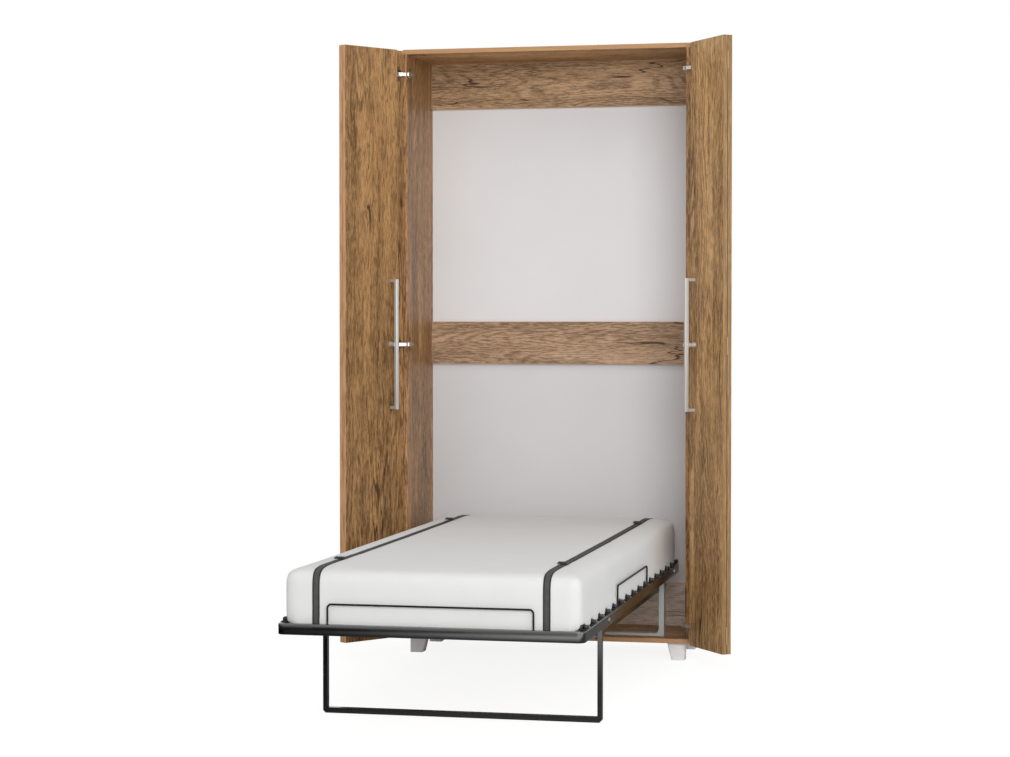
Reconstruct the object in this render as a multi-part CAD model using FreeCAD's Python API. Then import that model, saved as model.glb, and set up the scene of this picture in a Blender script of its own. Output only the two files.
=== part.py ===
import FreeCAD, Part
import math
import os

# Single folding wall bed: a shallow cabinet on short feet, two pairs of folding doors,
# and a mattress frame that swings up into the cabinet about a pivot near its back.
# Millimetres. X runs to the viewer's right, Y towards the wall and Z up. The drawing frame
# has x = 0 on the middle plane, y = 0 on the cabinet's front edges and z = 0 on the floor.
# save() moves everything along Y, so that the origin is under the middle of the opened bed.
# The bed is drawn lowered and the doors fully opened and folded.

V = FreeCAD.Vector
X_AXIS = V(1, 0, 0)
Y_AXIS = V(0, 1, 0)
Z_AXIS = V(0, 0, 1)

# ---- cabinet ----
CASE_WIDTH = 1060.0
CASE_HEIGHT = 2209.0
CASE_DEPTH = 388.0
BOARD = 16.0                    # laminated board
BACK_SHEET = 3.0                # hardboard nailed on behind
FOOT_HEIGHT = 63.0
LOWER_RAIL_HEIGHT = 162.0
MIDDLE_RAIL_BOTTOM = 1056.0
MIDDLE_RAIL_TOP = 1216.0
UPPER_RAIL_HEIGHT = 171.0
FOOT_TOP_WIDTH = 63.0
FOOT_SOLE_WIDTH = 47.0
FOOT_DEPTH = 50.0
FOOT_SETBACK = 17.0             # from the front edge
REAR_FOOT_Y = 304.0
FOOT_SIDE_X = 508.0
SCREW_RADIUS = 3.0
SCREW_LENGTH = 50.0

# ---- doors ----
HINGED_LEAF_WIDTH = 283.0
FOLDING_LEAF_WIDTH = 243.0
LEAF_GAP = 2.0
DOOR_BOTTOM = 64.0
DOOR_TOP = 2204.0
DOOR_OPEN = 125.3               # degrees from closed to the stop
DOOR_HINGE_X = 530.0
DOOR_HINGE_Y = -5.5
HINGE_LEVELS = (129.0, 1133.0, 2118.0)
CUP_RADIUS = 17.5
CUP_DEPTH = 11.5
CUP_SETBACK = 22.0              # cup centre from the leaf's hinge edge
CUP_SHEET = 1.2                 # steel that the cup is pressed from
HANDLE_BOTTOM = 900.0
HANDLE_TOP = 1368.0
HANDLE_WIDTH = 9.0
HANDLE_DEPTH = 12.0
HANDLE_STANDOFF = 32.0          # bar centre from the leaf's face
HANDLE_SETBACK = 32.0           # bar centre from the leaf's free edge
KNUCKLE_RADIUS = 2.5
PIN_RADIUS = 1.25
FOLD_HINGE_HEIGHT = 60.0
FOLD_HINGE_REACH = 26.0
FOLD_HINGE_PLATE = 0.8

# ---- bed frame ----
BED_REACH = 1717.0              # cabinet front to the foot bar's front
BED_HALF_WIDTH = 461.0
TUBE_WIDTH = 20.0
TUBE_HEIGHT = 33.0
TUBE_WALL = 1.5
TUBE_CORNER = 2.0               # chamfer that stands for the tube's rolled corners
RAIL_TOP = 330.0
RAIL_REAR = 200.0
FOOT_BEND = 22.0                # outer radius of the frame's corner in plan
SLAT_COUNT = 15
SLAT_PITCH = 124.0
SLAT_FIRST_Y = -1650.0
SLAT_WIDTH = 50.0
SLAT_THICKNESS = 8.0
SLAT_BOTTOM = 337.0
MATTRESS_BOTTOM = 346.0
MATTRESS_TOP = 495.0
MATTRESS_HALF_WIDTH = 447.0
MATTRESS_FOOT = -1694.5
MATTRESS_HEAD = 283.0
WIRE_RADIUS = 3.0
FOOT_WIRE_HALF = 309.0
FOOT_WIRE_TOP = 392.0
SIDE_WIRE_TOP = 397.0
SIDE_WIRE_FRONT = -1095.0
SIDE_WIRE_REAR = -500.0
SIDE_WIRE_X = 452.0
STRAP_X = 346.0
STRAP_WIDTH = 22.0
STRAP_THICKNESS = 1.8
SLIDER_YS = (-1444.0, -30.0)

# ---- pivots and leg ----
PIVOT_Y = 86.0
PIVOT_Z = 313.0
LEG_Y = -1303.0
LEG_HALF_WIDTH = 440.5
LEG_WIDTH = 14.0
LEG_DEPTH = 20.0
LEG_FOOT_HEIGHT = 17.0
LINK_DROP = 51.0                # link pivots below the bed's and the leg's pivots
LINK_HEIGHT = 14.0
UPRIGHT_OUTER = 426.5
UPRIGHT_WIDTH = 18.5
UPRIGHT_DEPTH = 40.0
SUPPORT_BASE = 9.0
GUSSET = 18.0                   # radius of the support frame's inside corners
SUPPORT_BOLT_XS = (-370.0, -140.0, 140.0, 370.0)
SPRING_X = 384.0
SPRING_STUD_Y = -314.0
SPRING_STUD_Z = 300.0
SPRING_RADIUS = 9.0
SPRING_EYE_RADIUS = 9.0
SPRING_EYE_HALF = 4.0           # half the width of the spring's eyes
ROD_RADIUS = 4.0
AXLE_RADIUS = 6.0
BUSHING_RADIUS = 8.0
LEG_BOLT_RADIUS = 5.0
LINK_BOLT_RADIUS = 4.0
NUT_RADIUS = 7.5                # across corners / 2
LINK_THICKNESS = 5.0

# ---- clearances ----
RUN = 0.05                      # radial running clearance of a pin in its bore
SIDE_GAP = 0.5                  # side clearance between parts that turn on one pin

# ---- small round pieces that repeat are drawn with flats ----
SCREW_SIDES = 8
BOLT_SIDES = 12
CUP_SIDES = 16

# ---- derived ----
SHIFT_Y = (BED_REACH - CASE_DEPTH) / 2
HALF_CASE = CASE_WIDTH / 2
INNER_X = HALF_CASE - BOARD
FLOOR_TOP = FOOT_HEIGHT + BOARD
CEILING = CASE_HEIGHT - BOARD
BACK_Y = CASE_DEPTH - BACK_SHEET
RAIL_FRONT_Y = BACK_Y - BOARD
LINK_Z = PIVOT_Z - LINK_DROP
RAIL_BOTTOM = RAIL_TOP - TUBE_HEIGHT
RAIL_INNER = BED_HALF_WIDTH - TUBE_WIDTH
UPRIGHT_INNER = UPRIGHT_OUTER - UPRIGHT_WIDTH
LEG_INNER = LEG_HALF_WIDTH - LEG_WIDTH
LEAF_INNER_FACE = -2.0
LEAF_OUTER_FACE = LEAF_INNER_FACE - BOARD
HINGED_LEAF_X = HALF_CASE - 1
FOLD_X = HINGED_LEAF_X - HINGED_LEAF_WIDTH - LEAF_GAP / 2
FOLD_Y = LEAF_INNER_FACE + LEAF_GAP / 2
CUP_X = HINGED_LEAF_X - CUP_SETBACK
CUP_BACK = LEAF_INNER_FACE - CUP_DEPTH


# ---------------------------------------------------------------- helpers
def block(x0, x1, y0, y1, z0, z1):
    return Part.makeBox(x1 - x0, y1 - y0, z1 - z0, V(x0, y0, z0))


def round_x(radius, x0, x1, y, z):
    """Cylinder along X."""
    return Part.makeCylinder(radius, x1 - x0, V(x0, y, z), X_AXIS)


def polygon_face(radius, sides, centre, axis):
    """Face with equal sides, square to an axis; its corners lie on a circle."""
    first = Z_AXIS if abs(axis.x) > 0.5 else X_AXIS
    second = axis.cross(first).normalize()
    first = second.cross(axis).normalize()
    corners = []
    for k in range(sides):
        angle = 2 * math.pi * (k + 0.5) / sides
        corners.append(centre + first * (radius * math.cos(angle)) + second * (radius * math.sin(angle)))
    return Part.Face(Part.makePolygon(corners + [corners[0]]))


def flatted(radius, sides, start, axis, length):
    """Bar with flats, such as a bolt head or a small pin."""
    return polygon_face(radius, sides, start, axis).extrude(axis * length)


def flatted_x(radius, sides, x0, x1, y, z):
    return flatted(radius, sides, V(x0, y, z), X_AXIS, x1 - x0)


def around(radius, sides):
    """Corner radius of a flatted bore whose flats clear a pin of the given radius."""
    return radius / math.cos(math.pi / sides)


def prism(points, plane, start, length):
    """Closed polygon of two-number points on the plane XZ or XY, extruded square to it."""
    if plane == "XZ":
        corners = [V(a, start, b) for a, b in points]
        direction = Y_AXIS
    else:
        corners = [V(a, b, start) for a, b in points]
        direction = Z_AXIS
    return Part.Face(Part.makePolygon(corners + [corners[0]])).extrude(direction * length)


def fused(shapes):
    result = shapes[0]
    for shape in shapes[1:]:
        result = result.fuse(shape)
    return result.removeSplitter()


def mirrored(shape):
    return shape.mirror(V(0, 0, 0), X_AXIS)


def save(name, shape):
    moved = shape.copy()
    moved.translate(V(0, SHIFT_Y, 0))
    moved.exportStep("parts/" + name + ".step")


def save_group(name, shapes):
    save(name, Part.makeCompound(shapes))


def save_pair(name, shape):
    """A piece drawn for the right-hand side, and its mirror image on the left."""
    save(name + "_right", shape)
    save(name + "_left", mirrored(shape))


def both_sides(shapes):
    return shapes + [mirrored(shape) for shape in shapes]


def cut_rectangle(width, height, cut):
    """Corners of a rectangle about the origin, each cut off at 45 degrees, or left square."""
    a = width / 2
    b = height / 2
    if cut == 0:
        return [(a, -b), (a, b), (-a, b), (-a, -b)]
    return [
        (a, -b + cut), (a, b - cut), (a - cut, b), (-a + cut, b),
        (-a, b - cut), (-a, -b + cut), (-a + cut, -b), (a - cut, -b),
    ]


def tube_face(place):
    """Cross-section of the frame's rectangular steel tube."""
    faces = []
    for inset, cut in ((0, TUBE_CORNER), (TUBE_WALL, 0)):
        outline = cut_rectangle(TUBE_WIDTH - 2 * inset, TUBE_HEIGHT - 2 * inset, cut)
        corners = [place(a, b) for a, b in outline]
        faces.append(Part.Face(Part.makePolygon(corners + [corners[0]])))
    return faces[0].cut(faces[1]).Faces[0]


# ---------------------------------------------------------------- cabinet
def rail_spans():
    """Heights of the three rear rails."""
    return (
        (FLOOR_TOP, FLOOR_TOP + LOWER_RAIL_HEIGHT),
        (MIDDLE_RAIL_BOTTOM, MIDDLE_RAIL_TOP),
        (CEILING - UPPER_RAIL_HEIGHT, CEILING),
    )


def case_screws():
    """Two screws through each side panel into each end of each rear rail."""
    screws = []
    for bottom, top in rail_spans():
        for z in (bottom + 40, top - 40):
            start = HALF_CASE - SCREW_LENGTH
            screws.append(flatted_x(SCREW_RADIUS, SCREW_SIDES, start, HALF_CASE, RAIL_FRONT_Y + BOARD / 2, z))
    return both_sides(screws)


def side_panel():
    panel = block(INNER_X, HALF_CASE, 0, BACK_Y, FLOOR_TOP, CEILING)
    return panel.cut(Part.makeCompound(case_screws()))


def rear_rail(bottom, top):
    rail = block(-INNER_X, INNER_X, RAIL_FRONT_Y, BACK_Y, bottom, top)
    return rail.cut(Part.makeCompound(case_screws()))


def support_bolts():
    """Hexagon bolts that hold the support frame down on the cabinet's floor."""
    shank_radius = 4.0
    head_radius = 8.0
    head_height = 5.0
    bolts = []
    for x in SUPPORT_BOLT_XS:
        shank = flatted(shank_radius, SCREW_SIDES, V(x, PIVOT_Y, FOOT_HEIGHT), Z_AXIS, SUPPORT_BASE + BOARD)
        head = flatted(head_radius, 6, V(x, PIVOT_Y, FLOOR_TOP + SUPPORT_BASE), Z_AXIS, head_height)
        bolts.append(fused([shank, head]))
    return bolts


def bottom_panel():
    panel = block(-HALF_CASE, HALF_CASE, 0, BACK_Y, FOOT_HEIGHT, FLOOR_TOP)
    return panel.cut(Part.makeCompound(support_bolts()))


def cabinet_foot(front_y):
    """Tapered foot: upright outside, sloping inside."""
    inner_top = FOOT_SIDE_X - FOOT_TOP_WIDTH
    inner_sole = FOOT_SIDE_X - FOOT_SOLE_WIDTH
    profile = [(inner_sole, 0), (FOOT_SIDE_X, 0), (FOOT_SIDE_X, FOOT_HEIGHT), (inner_top, FOOT_HEIGHT)]
    foot = prism(profile, "XZ", front_y, FOOT_DEPTH)
    corners = [edge for edge in foot.Edges if abs(edge.BoundBox.ZLength - FOOT_HEIGHT) < 1]
    return foot.makeChamfer(2, corners)


def build_cabinet():
    save_pair("side_panel", side_panel())
    save("top_panel", block(-HALF_CASE, HALF_CASE, 0, BACK_Y, CEILING, CASE_HEIGHT))
    save("bottom_panel", bottom_panel())
    lower, middle, upper = rail_spans()
    save("lower_rail", rear_rail(*lower))
    save("middle_rail", rear_rail(*middle))
    save("upper_rail", rear_rail(*upper))
    seam = (MIDDLE_RAIL_BOTTOM + MIDDLE_RAIL_TOP) / 2
    edge = 2
    back_x = HALF_CASE - edge
    save("back_sheet_lower", block(-back_x, back_x, BACK_Y, CASE_DEPTH, FOOT_HEIGHT + edge, seam))
    save("back_sheet_upper", block(-back_x, back_x, BACK_Y, CASE_DEPTH, seam, CASE_HEIGHT - edge))
    save_pair("front_foot", cabinet_foot(FOOT_SETBACK))
    save_pair("rear_foot", cabinet_foot(REAR_FOOT_Y))
    save_group("case_screws", case_screws())
    save_group("support_bolts", support_bolts())


# ---------------------------------------------------------------- support frame and pivots
def support_base():
    """Flat bar across the cabinet floor, with curved gussets up to the uprights."""
    y0 = PIVOT_Y - UPRIGHT_DEPTH / 2
    bar_top = FLOOR_TOP + SUPPORT_BASE
    joint_z = bar_top + GUSSET
    s = GUSSET * (1 - math.sqrt(0.5))
    a = V(UPRIGHT_INNER, y0, joint_z)
    middle = V(UPRIGHT_INNER - s, y0, bar_top + s)
    b = V(UPRIGHT_INNER - GUSSET, y0, bar_top)
    corners = [b, V(0, y0, bar_top), V(0, y0, FLOOR_TOP), V(UPRIGHT_OUTER, y0, FLOOR_TOP)]
    corners += [V(UPRIGHT_OUTER, y0, joint_z), a]
    edges = [Part.LineSegment(p, q).toShape() for p, q in zip(corners, corners[1:])]
    edges.append(Part.Arc(a, middle, b).toShape())
    half = Part.Face(Part.Wire(edges)).extrude(Y_AXIS * UPRIGHT_DEPTH)
    whole = fused([half, mirrored(half)])
    return whole.cut(Part.makeCompound(support_bolts()))


def support_upright():
    """Flat-sided post whose top is rounded about the bed's pivot."""
    joint_z = FLOOR_TOP + SUPPORT_BASE + GUSSET
    half_depth = UPRIGHT_DEPTH / 2
    post = block(UPRIGHT_INNER, UPRIGHT_OUTER, PIVOT_Y - half_depth, PIVOT_Y + half_depth, joint_z, PIVOT_Z)
    cap = round_x(half_depth, UPRIGHT_INNER, UPRIGHT_OUTER, PIVOT_Y, PIVOT_Z)
    return fused([post, cap]).cut(Part.makeCompound([pivot_axle(), link_bolt()]))


def pivot_axle():
    """Stub axle welded in the upright, with a spacer collar and a retaining cap outside the rail."""
    collar_radius = 10.0
    cap_radius = 9.0
    cap_start = BED_HALF_WIDTH + SIDE_GAP
    collar_end = RAIL_INNER - SIDE_GAP
    root = flatted_x(AXLE_RADIUS, BOLT_SIDES, UPRIGHT_INNER, UPRIGHT_OUTER, PIVOT_Y, PIVOT_Z)
    collar = flatted_x(collar_radius, BOLT_SIDES, UPRIGHT_OUTER, collar_end, PIVOT_Y, PIVOT_Z)
    shaft = round_x(AXLE_RADIUS, collar_end, cap_start, PIVOT_Y, PIVOT_Z)
    cap = flatted_x(cap_radius, BOLT_SIDES, cap_start, cap_start + 3, PIVOT_Y, PIVOT_Z)
    return fused([root, collar, shaft, cap])


def link_bolt():
    """Bolt below the pivot that carries the link and the gas spring's eye."""
    washer_start = UPRIGHT_INNER - 0.8
    spacer_start = SPRING_X + SPRING_EYE_HALF + SIDE_GAP
    spacer_end = UPRIGHT_INNER - LINK_THICKNESS - 2.2
    nut_end = SPRING_X - SPRING_EYE_HALF - SIDE_GAP
    nut_start = nut_end - 6
    shank = flatted_x(LINK_BOLT_RADIUS, BOLT_SIDES, nut_start, UPRIGHT_OUTER, PIVOT_Y, LINK_Z)
    head = flatted_x(NUT_RADIUS, 6, UPRIGHT_OUTER, UPRIGHT_OUTER + 5, PIVOT_Y, LINK_Z)
    washer = flatted_x(8, BOLT_SIDES, washer_start, UPRIGHT_INNER, PIVOT_Y, LINK_Z)
    spacer = flatted_x(7, BOLT_SIDES, spacer_start, spacer_end, PIVOT_Y, LINK_Z)
    nut = flatted_x(NUT_RADIUS, 6, nut_start, nut_end, PIVOT_Y, LINK_Z)
    return fused([shank, head, washer, spacer, nut])


def build_support():
    save("support_base", support_base())
    save_pair("support_upright", support_upright())
    save_group("pivot_axles", both_sides([pivot_axle()]))
    save_group("link_bolts", both_sides([link_bolt()]))


# ---------------------------------------------------------------- doors
# Drawn closed and on the right, then folded and opened.
def opened(shape):
    turned = shape.copy()
    turned.rotate(V(DOOR_HINGE_X, DOOR_HINGE_Y, 0), Z_AXIS, DOOR_OPEN)
    return turned


def folded(shape):
    turned = shape.copy()
    turned.rotate(V(FOLD_X, FOLD_Y, 0), Z_AXIS, -180)
    return opened(turned)


def fold_hinge_cuts(side):
    """Mortise for a hinge plate and room for the barrel in one leaf; side is +1 or -1 in X."""
    cuts = []
    front = LEAF_INNER_FACE + 1
    half = FOLD_HINGE_HEIGHT / 2
    for z in HINGE_LEVELS:
        for reach, depth in ((FOLD_HINGE_REACH, FOLD_HINGE_PLATE), (3.3, 2.3)):
            ends = sorted((FOLD_X, FOLD_X + side * reach))
            cuts.append(block(ends[0], ends[1], LEAF_INNER_FACE - depth, front, z - half, z + half))
    return cuts


def softened(leaf):
    """Leaf with the small edge break of its edge banding."""
    return leaf.makeChamfer(0.8, leaf.Edges)


def hinged_leaf():
    leaf = softened(block(HINGED_LEAF_X - HINGED_LEAF_WIDTH, HINGED_LEAF_X, LEAF_OUTER_FACE, LEAF_INNER_FACE,
                          DOOR_BOTTOM, DOOR_TOP))
    cuts = fold_hinge_cuts(1)
    for z in HINGE_LEVELS:
        cuts.append(flatted(CUP_RADIUS, CUP_SIDES, V(CUP_X, CUP_BACK, z), Y_AXIS, CUP_DEPTH + 1))
    return opened(leaf.cut(Part.makeCompound(cuts)))


def folding_leaf():
    free_edge = FOLD_X - LEAF_GAP / 2 - FOLDING_LEAF_WIDTH
    leaf = softened(block(free_edge, FOLD_X - LEAF_GAP / 2, LEAF_OUTER_FACE, LEAF_INNER_FACE,
                          DOOR_BOTTOM, DOOR_TOP))
    return folded(leaf.cut(Part.makeCompound(fold_hinge_cuts(-1))))


def hinge_cup(z):
    """Pressed cup with its flange, and the bent link that reaches out of it towards the arm."""
    shell = flatted(CUP_RADIUS, CUP_SIDES, V(CUP_X, CUP_BACK, z), Y_AXIS, CUP_DEPTH)
    disc = flatted(CUP_RADIUS + 1.5, CUP_SIDES, V(CUP_X, LEAF_INNER_FACE, z), Y_AXIS, CUP_SHEET)
    ears = block(CUP_X - 8, CUP_X + 8, LEAF_INNER_FACE, LEAF_INNER_FACE + CUP_SHEET, z - 26, z + 26)
    floor = V(CUP_X, CUP_BACK + CUP_SHEET, z)
    hollow = flatted(CUP_RADIUS - CUP_SHEET, CUP_SIDES, floor, Y_AXIS, CUP_DEPTH + 2)
    cup = opened(fused([shell, disc, ears]).cut(hollow))
    return fused([cup, hinge_link(z)])


def opened_point(x, y):
    """Where a point of the closed hinged leaf goes when the door is opened."""
    return opened(Part.Vertex(V(x, y, 0))).Point


def hinge_link(z):
    """Flat link: straight out of the cup's floor, then round the leaf's edge to the arm's nose."""
    thickness = 2.0
    width = 12.0
    root = opened_point(CUP_X, CUP_BACK + CUP_SHEET / 2)
    knee = opened_point(CUP_X, LEAF_INNER_FACE + 3.6)
    nose = V(INNER_X - 0.4, -14, 0)
    low = V(0, 0, z - width / 2)
    pieces = [flatted(thickness / 2, SCREW_SIDES, knee + low, Z_AXIS, width)]
    for start, end in ((root, knee), (knee, nose)):
        along = (end - start).normalize()
        across = V(-along.y, along.x, 0) * (thickness / 2)
        corners = [point + low for point in (start + across, end + across, end - across, start - across)]
        pieces.append(Part.Face(Part.makePolygon(corners + [corners[0]])).extrude(Z_AXIS * width))
    return fused(pieces)


def hinge_arm(z):
    """Cross-shaped mounting plate on the side panel, with the sprung arm clipped on it."""
    plate = block(INNER_X - 2, INNER_X, 20, 64, z - 8, z + 8)
    wings = block(INNER_X - 2, INNER_X, 30, 48, z - 26, z + 26)
    arm_profile = [(INNER_X - 2, 62), (INNER_X - 11, 62), (INNER_X - 14, 48), (INNER_X - 14, 4),
                   (INNER_X - 10, -9), (INNER_X - 5, -12), (INNER_X - 3.6, -8), (INNER_X - 3.6, 20),
                   (INNER_X - 2, 20)]
    arm = prism(arm_profile, "XY", z - 6, 12)
    return fused([plate, wings, arm])


def fold_hinge_half(z, side, knuckles, bore):
    """One plate of a fold hinge with its knuckles; side is +1 for the hinged leaf."""
    bottom = z - FOLD_HINGE_HEIGHT / 2
    back = LEAF_INNER_FACE - FOLD_HINGE_PLATE

    def flat(reach, start, end):
        ends = sorted((FOLD_X, FOLD_X + side * reach))
        return block(ends[0], ends[1], back, LEAF_INNER_FACE, bottom + start, bottom + end)

    def barrel(radius, start, end):
        return flatted(radius, SCREW_SIDES, V(FOLD_X, FOLD_Y, bottom + start), Z_AXIS, end - start)

    barrel_room = barrel(KNUCKLE_RADIUS + 0.3, 0, FOLD_HINGE_HEIGHT)
    shapes = [flat(FOLD_HINGE_REACH, 0, FOLD_HINGE_HEIGHT).cut(barrel_room)]
    for start, end in knuckles:
        shapes.append(barrel(KNUCKLE_RADIUS, start, end))
        shapes.append(flat(4, start, end))
    return fused(shapes).cut(barrel(bore, -1, FOLD_HINGE_HEIGHT + 1))


def fold_hinge_pin(z):
    foot = V(FOLD_X, FOLD_Y, z - FOLD_HINGE_HEIGHT / 2)
    return flatted(PIN_RADIUS, SCREW_SIDES, foot, Z_AXIS, FOLD_HINGE_HEIGHT)


def pull_handle():
    """Upright bar on two end posts and a middle post that flares at the leaf and at the bar."""
    x = FOLD_X - LEAF_GAP / 2 - FOLDING_LEAF_WIDTH + HANDLE_SETBACK
    y = LEAF_OUTER_FACE - HANDLE_STANDOFF
    bar = block(x - HANDLE_WIDTH / 2, x + HANDLE_WIDTH / 2, y - HANDLE_DEPTH / 2, y + HANDLE_DEPTH / 2,
                HANDLE_BOTTOM, HANDLE_TOP)
    upright_edges = [edge for edge in bar.Edges if edge.BoundBox.ZLength > 1]
    bar = bar.makeChamfer(1.5, upright_edges)
    post = 8.0
    shapes = [bar]
    inner = y + HANDLE_DEPTH / 2 - 2
    for z in (HANDLE_BOTTOM, HANDLE_TOP - post):
        shapes.append(block(x - post / 2, x + post / 2, inner, LEAF_OUTER_FACE, z, z + post))
    middle = (HANDLE_BOTTOM + HANDLE_TOP) / 2
    length = LEAF_OUTER_FACE - inner
    places = (V(x, inner, middle), V(x, inner + length / 2, middle), V(x, LEAF_OUTER_FACE, middle))
    waist = [polygon_face(radius, BOLT_SIDES, place, Y_AXIS) for radius, place in zip((9, 4, 9), places)]
    shapes.append(Part.makeLoft([face.OuterWire for face in waist], True, True))
    return folded(fused(shapes))


def build_doors():
    third = FOLD_HINGE_HEIGHT / 3
    gap = 0.3
    save_pair("hinged_leaf", hinged_leaf())
    save_pair("folding_leaf", folding_leaf())
    save_pair("handle", pull_handle())
    cups = [hinge_cup(z) for z in HINGE_LEVELS]
    save_pair("hinge_cups", Part.makeCompound(cups))
    arms = [hinge_arm(z) for z in HINGE_LEVELS]
    save_pair("hinge_arms", Part.makeCompound(arms))
    outer_knuckles = ((0, third - gap), (2 * third + gap, FOLD_HINGE_HEIGHT))
    inner_knuckle = ((third, 2 * third),)
    fixed = [opened(fold_hinge_half(z, 1, outer_knuckles, PIN_RADIUS)) for z in HINGE_LEVELS]
    pins = [opened(fold_hinge_pin(z)) for z in HINGE_LEVELS]
    running_bore = around(PIN_RADIUS + RUN, SCREW_SIDES)
    moving = [folded(fold_hinge_half(z, -1, inner_knuckle, running_bore)) for z in HINGE_LEVELS]
    save_pair("fold_hinges", Part.makeCompound(fixed + pins))
    save_pair("fold_hinge_flaps", Part.makeCompound(moving))


# ---------------------------------------------------------------- bed frame
def side_rail():
    """Steel tube along the bed, bent round at the foot end to meet the foot bar."""
    middle_x = BED_HALF_WIDTH - TUBE_WIDTH / 2
    middle_z = RAIL_TOP - TUBE_HEIGHT / 2
    bend_y = FOOT_BEND - BED_REACH

    def place(a, b):
        return V(middle_x + a, bend_y, middle_z + b)

    straight = tube_face(place).extrude(Y_AXIS * (RAIL_REAR - bend_y))
    bend = tube_face(place).revolve(V(BED_HALF_WIDTH - FOOT_BEND, bend_y, 0), -Z_AXIS, 90)
    rail = fused([straight, bend])
    bushing_hole = flatted_x(BUSHING_RADIUS, CUP_SIDES, RAIL_INNER - 1, BED_HALF_WIDTH + 1, PIVOT_Y, PIVOT_Z)
    return rail.cut(Part.makeCompound([bushing_hole, leg_pivot_bolt()]))


def foot_bar():
    reach = BED_HALF_WIDTH - FOOT_BEND
    middle_y = TUBE_WIDTH / 2 - BED_REACH
    middle_z = RAIL_TOP - TUBE_HEIGHT / 2

    def place(a, b):
        return V(-reach, middle_y + a, middle_z + b)

    return tube_face(place).extrude(X_AXIS * (2 * reach))


def head_bar():
    """Raised bar that passes over the uprights when the bed swings up, on a tab at each rail."""
    y0 = 172.0
    y1 = 198.0
    tab_top = RAIL_TOP + 4
    bar = block(-BED_HALF_WIDTH, BED_HALF_WIDTH, y0, y1, tab_top, MATTRESS_BOTTOM)
    tab = block(RAIL_INNER + 3, BED_HALF_WIDTH - 3, y0, y1, RAIL_TOP, tab_top)
    return fused([bar, tab, mirrored(tab)])


def cross_bar():
    """Flat bar between the rails, with the lugs that the gas springs push on."""
    bottom = RAIL_TOP - 7.5
    half_bar = 20.0
    half_lug = 10.0
    lug_x0 = SPRING_X - 23
    lug_x1 = lug_x0 + 5
    stud_end = SPRING_X - SPRING_EYE_HALF - SIDE_GAP
    bar = block(-RAIL_INNER, RAIL_INNER, SPRING_STUD_Y - half_bar, SPRING_STUD_Y + half_bar, bottom, RAIL_TOP)
    plate = block(lug_x0, lug_x1, SPRING_STUD_Y - half_lug, SPRING_STUD_Y + half_lug, SPRING_STUD_Z, bottom)
    rounding = round_x(half_lug, lug_x0, lug_x1, SPRING_STUD_Y, SPRING_STUD_Z)
    stud = flatted_x(4, BOLT_SIDES, lug_x0, stud_end, SPRING_STUD_Y, SPRING_STUD_Z)
    lug = fused([plate, rounding, stud])
    return fused([bar, lug, mirrored(lug)])


def rail_end_cap():
    """Plastic plug that closes the rail's open rear end."""
    rim = block(RAIL_INNER, BED_HALF_WIDTH, RAIL_REAR, RAIL_REAR + 3, RAIL_BOTTOM, RAIL_TOP)
    corners = [edge for edge in rim.Edges if edge.BoundBox.YLength > 1]
    return rim.makeChamfer(TUBE_CORNER, corners)


def slat_centres():
    return [SLAT_FIRST_Y + SLAT_PITCH * k for k in range(SLAT_COUNT)]


def slats():
    half_length = RAIL_INNER + 6
    shapes = []
    for y in slat_centres():
        slat = block(-half_length, half_length, y - SLAT_WIDTH / 2, y + SLAT_WIDTH / 2, SLAT_BOTTOM,
                     SLAT_BOTTOM + SLAT_THICKNESS)
        long_edges = [edge for edge in slat.Edges if edge.BoundBox.XLength > 1]
        shapes.append(slat.makeChamfer(2, long_edges))
    return shapes


def slat_holders():
    """Moulded caps on the rail's top, with a pocket for the slat's end and a raised outer lip."""
    half_length = SLAT_WIDTH / 2 + 3
    pocket_x = RAIL_INNER + 6
    roof = MATTRESS_BOTTOM
    lip = MATTRESS_BOTTOM + 5
    profile = [(RAIL_INNER, RAIL_TOP), (BED_HALF_WIDTH, RAIL_TOP), (BED_HALF_WIDTH, lip - 3),
               (BED_HALF_WIDTH - 3, lip), (RAIL_INNER + 10, lip), (RAIL_INNER + 8, roof), (RAIL_INNER, roof)]
    shapes = []
    for y in slat_centres():
        holder = prism(profile, "XZ", y - half_length, 2 * half_length)
        pocket = block(RAIL_INNER - 1, pocket_x, y - SLAT_WIDTH / 2, y + SLAT_WIDTH / 2, SLAT_BOTTOM,
                       SLAT_BOTTOM + SLAT_THICKNESS)
        shapes.append(holder.cut(pocket))
    return shapes


def wire_loop(start, end, top, bend):
    """Bent wire hoop that stands on the frame; start and end are its feet."""
    along = (end - start).normalize()
    turn_axis = Z_AXIS.cross(along)
    rise = Z_AXIS * (top - WIRE_RADIUS - bend - start.z)
    section = polygon_face(WIRE_RADIUS, SCREW_SIDES, start, Z_AXIS)
    leg = section.extrude(rise)
    section.translate(rise)
    centre = start + rise + along * bend
    corner = section.revolve(centre, turn_axis, 90)
    section.rotate(centre, turn_axis, 90)
    crown = section.extrude(along * ((end - start).Length / 2 - bend))
    half = fused([leg, corner, crown])
    return fused([half, half.mirror((start + end) * 0.5, along)])


def foot_wire():
    y = 13.5 - BED_REACH
    return wire_loop(V(-FOOT_WIRE_HALF, y, RAIL_TOP), V(FOOT_WIRE_HALF, y, RAIL_TOP), FOOT_WIRE_TOP, 24)


def side_wire():
    start = V(SIDE_WIRE_X, SIDE_WIRE_FRONT, RAIL_TOP)
    end = V(SIDE_WIRE_X, SIDE_WIRE_REAR, RAIL_TOP)
    return wire_loop(start, end, SIDE_WIRE_TOP, 24)


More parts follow.
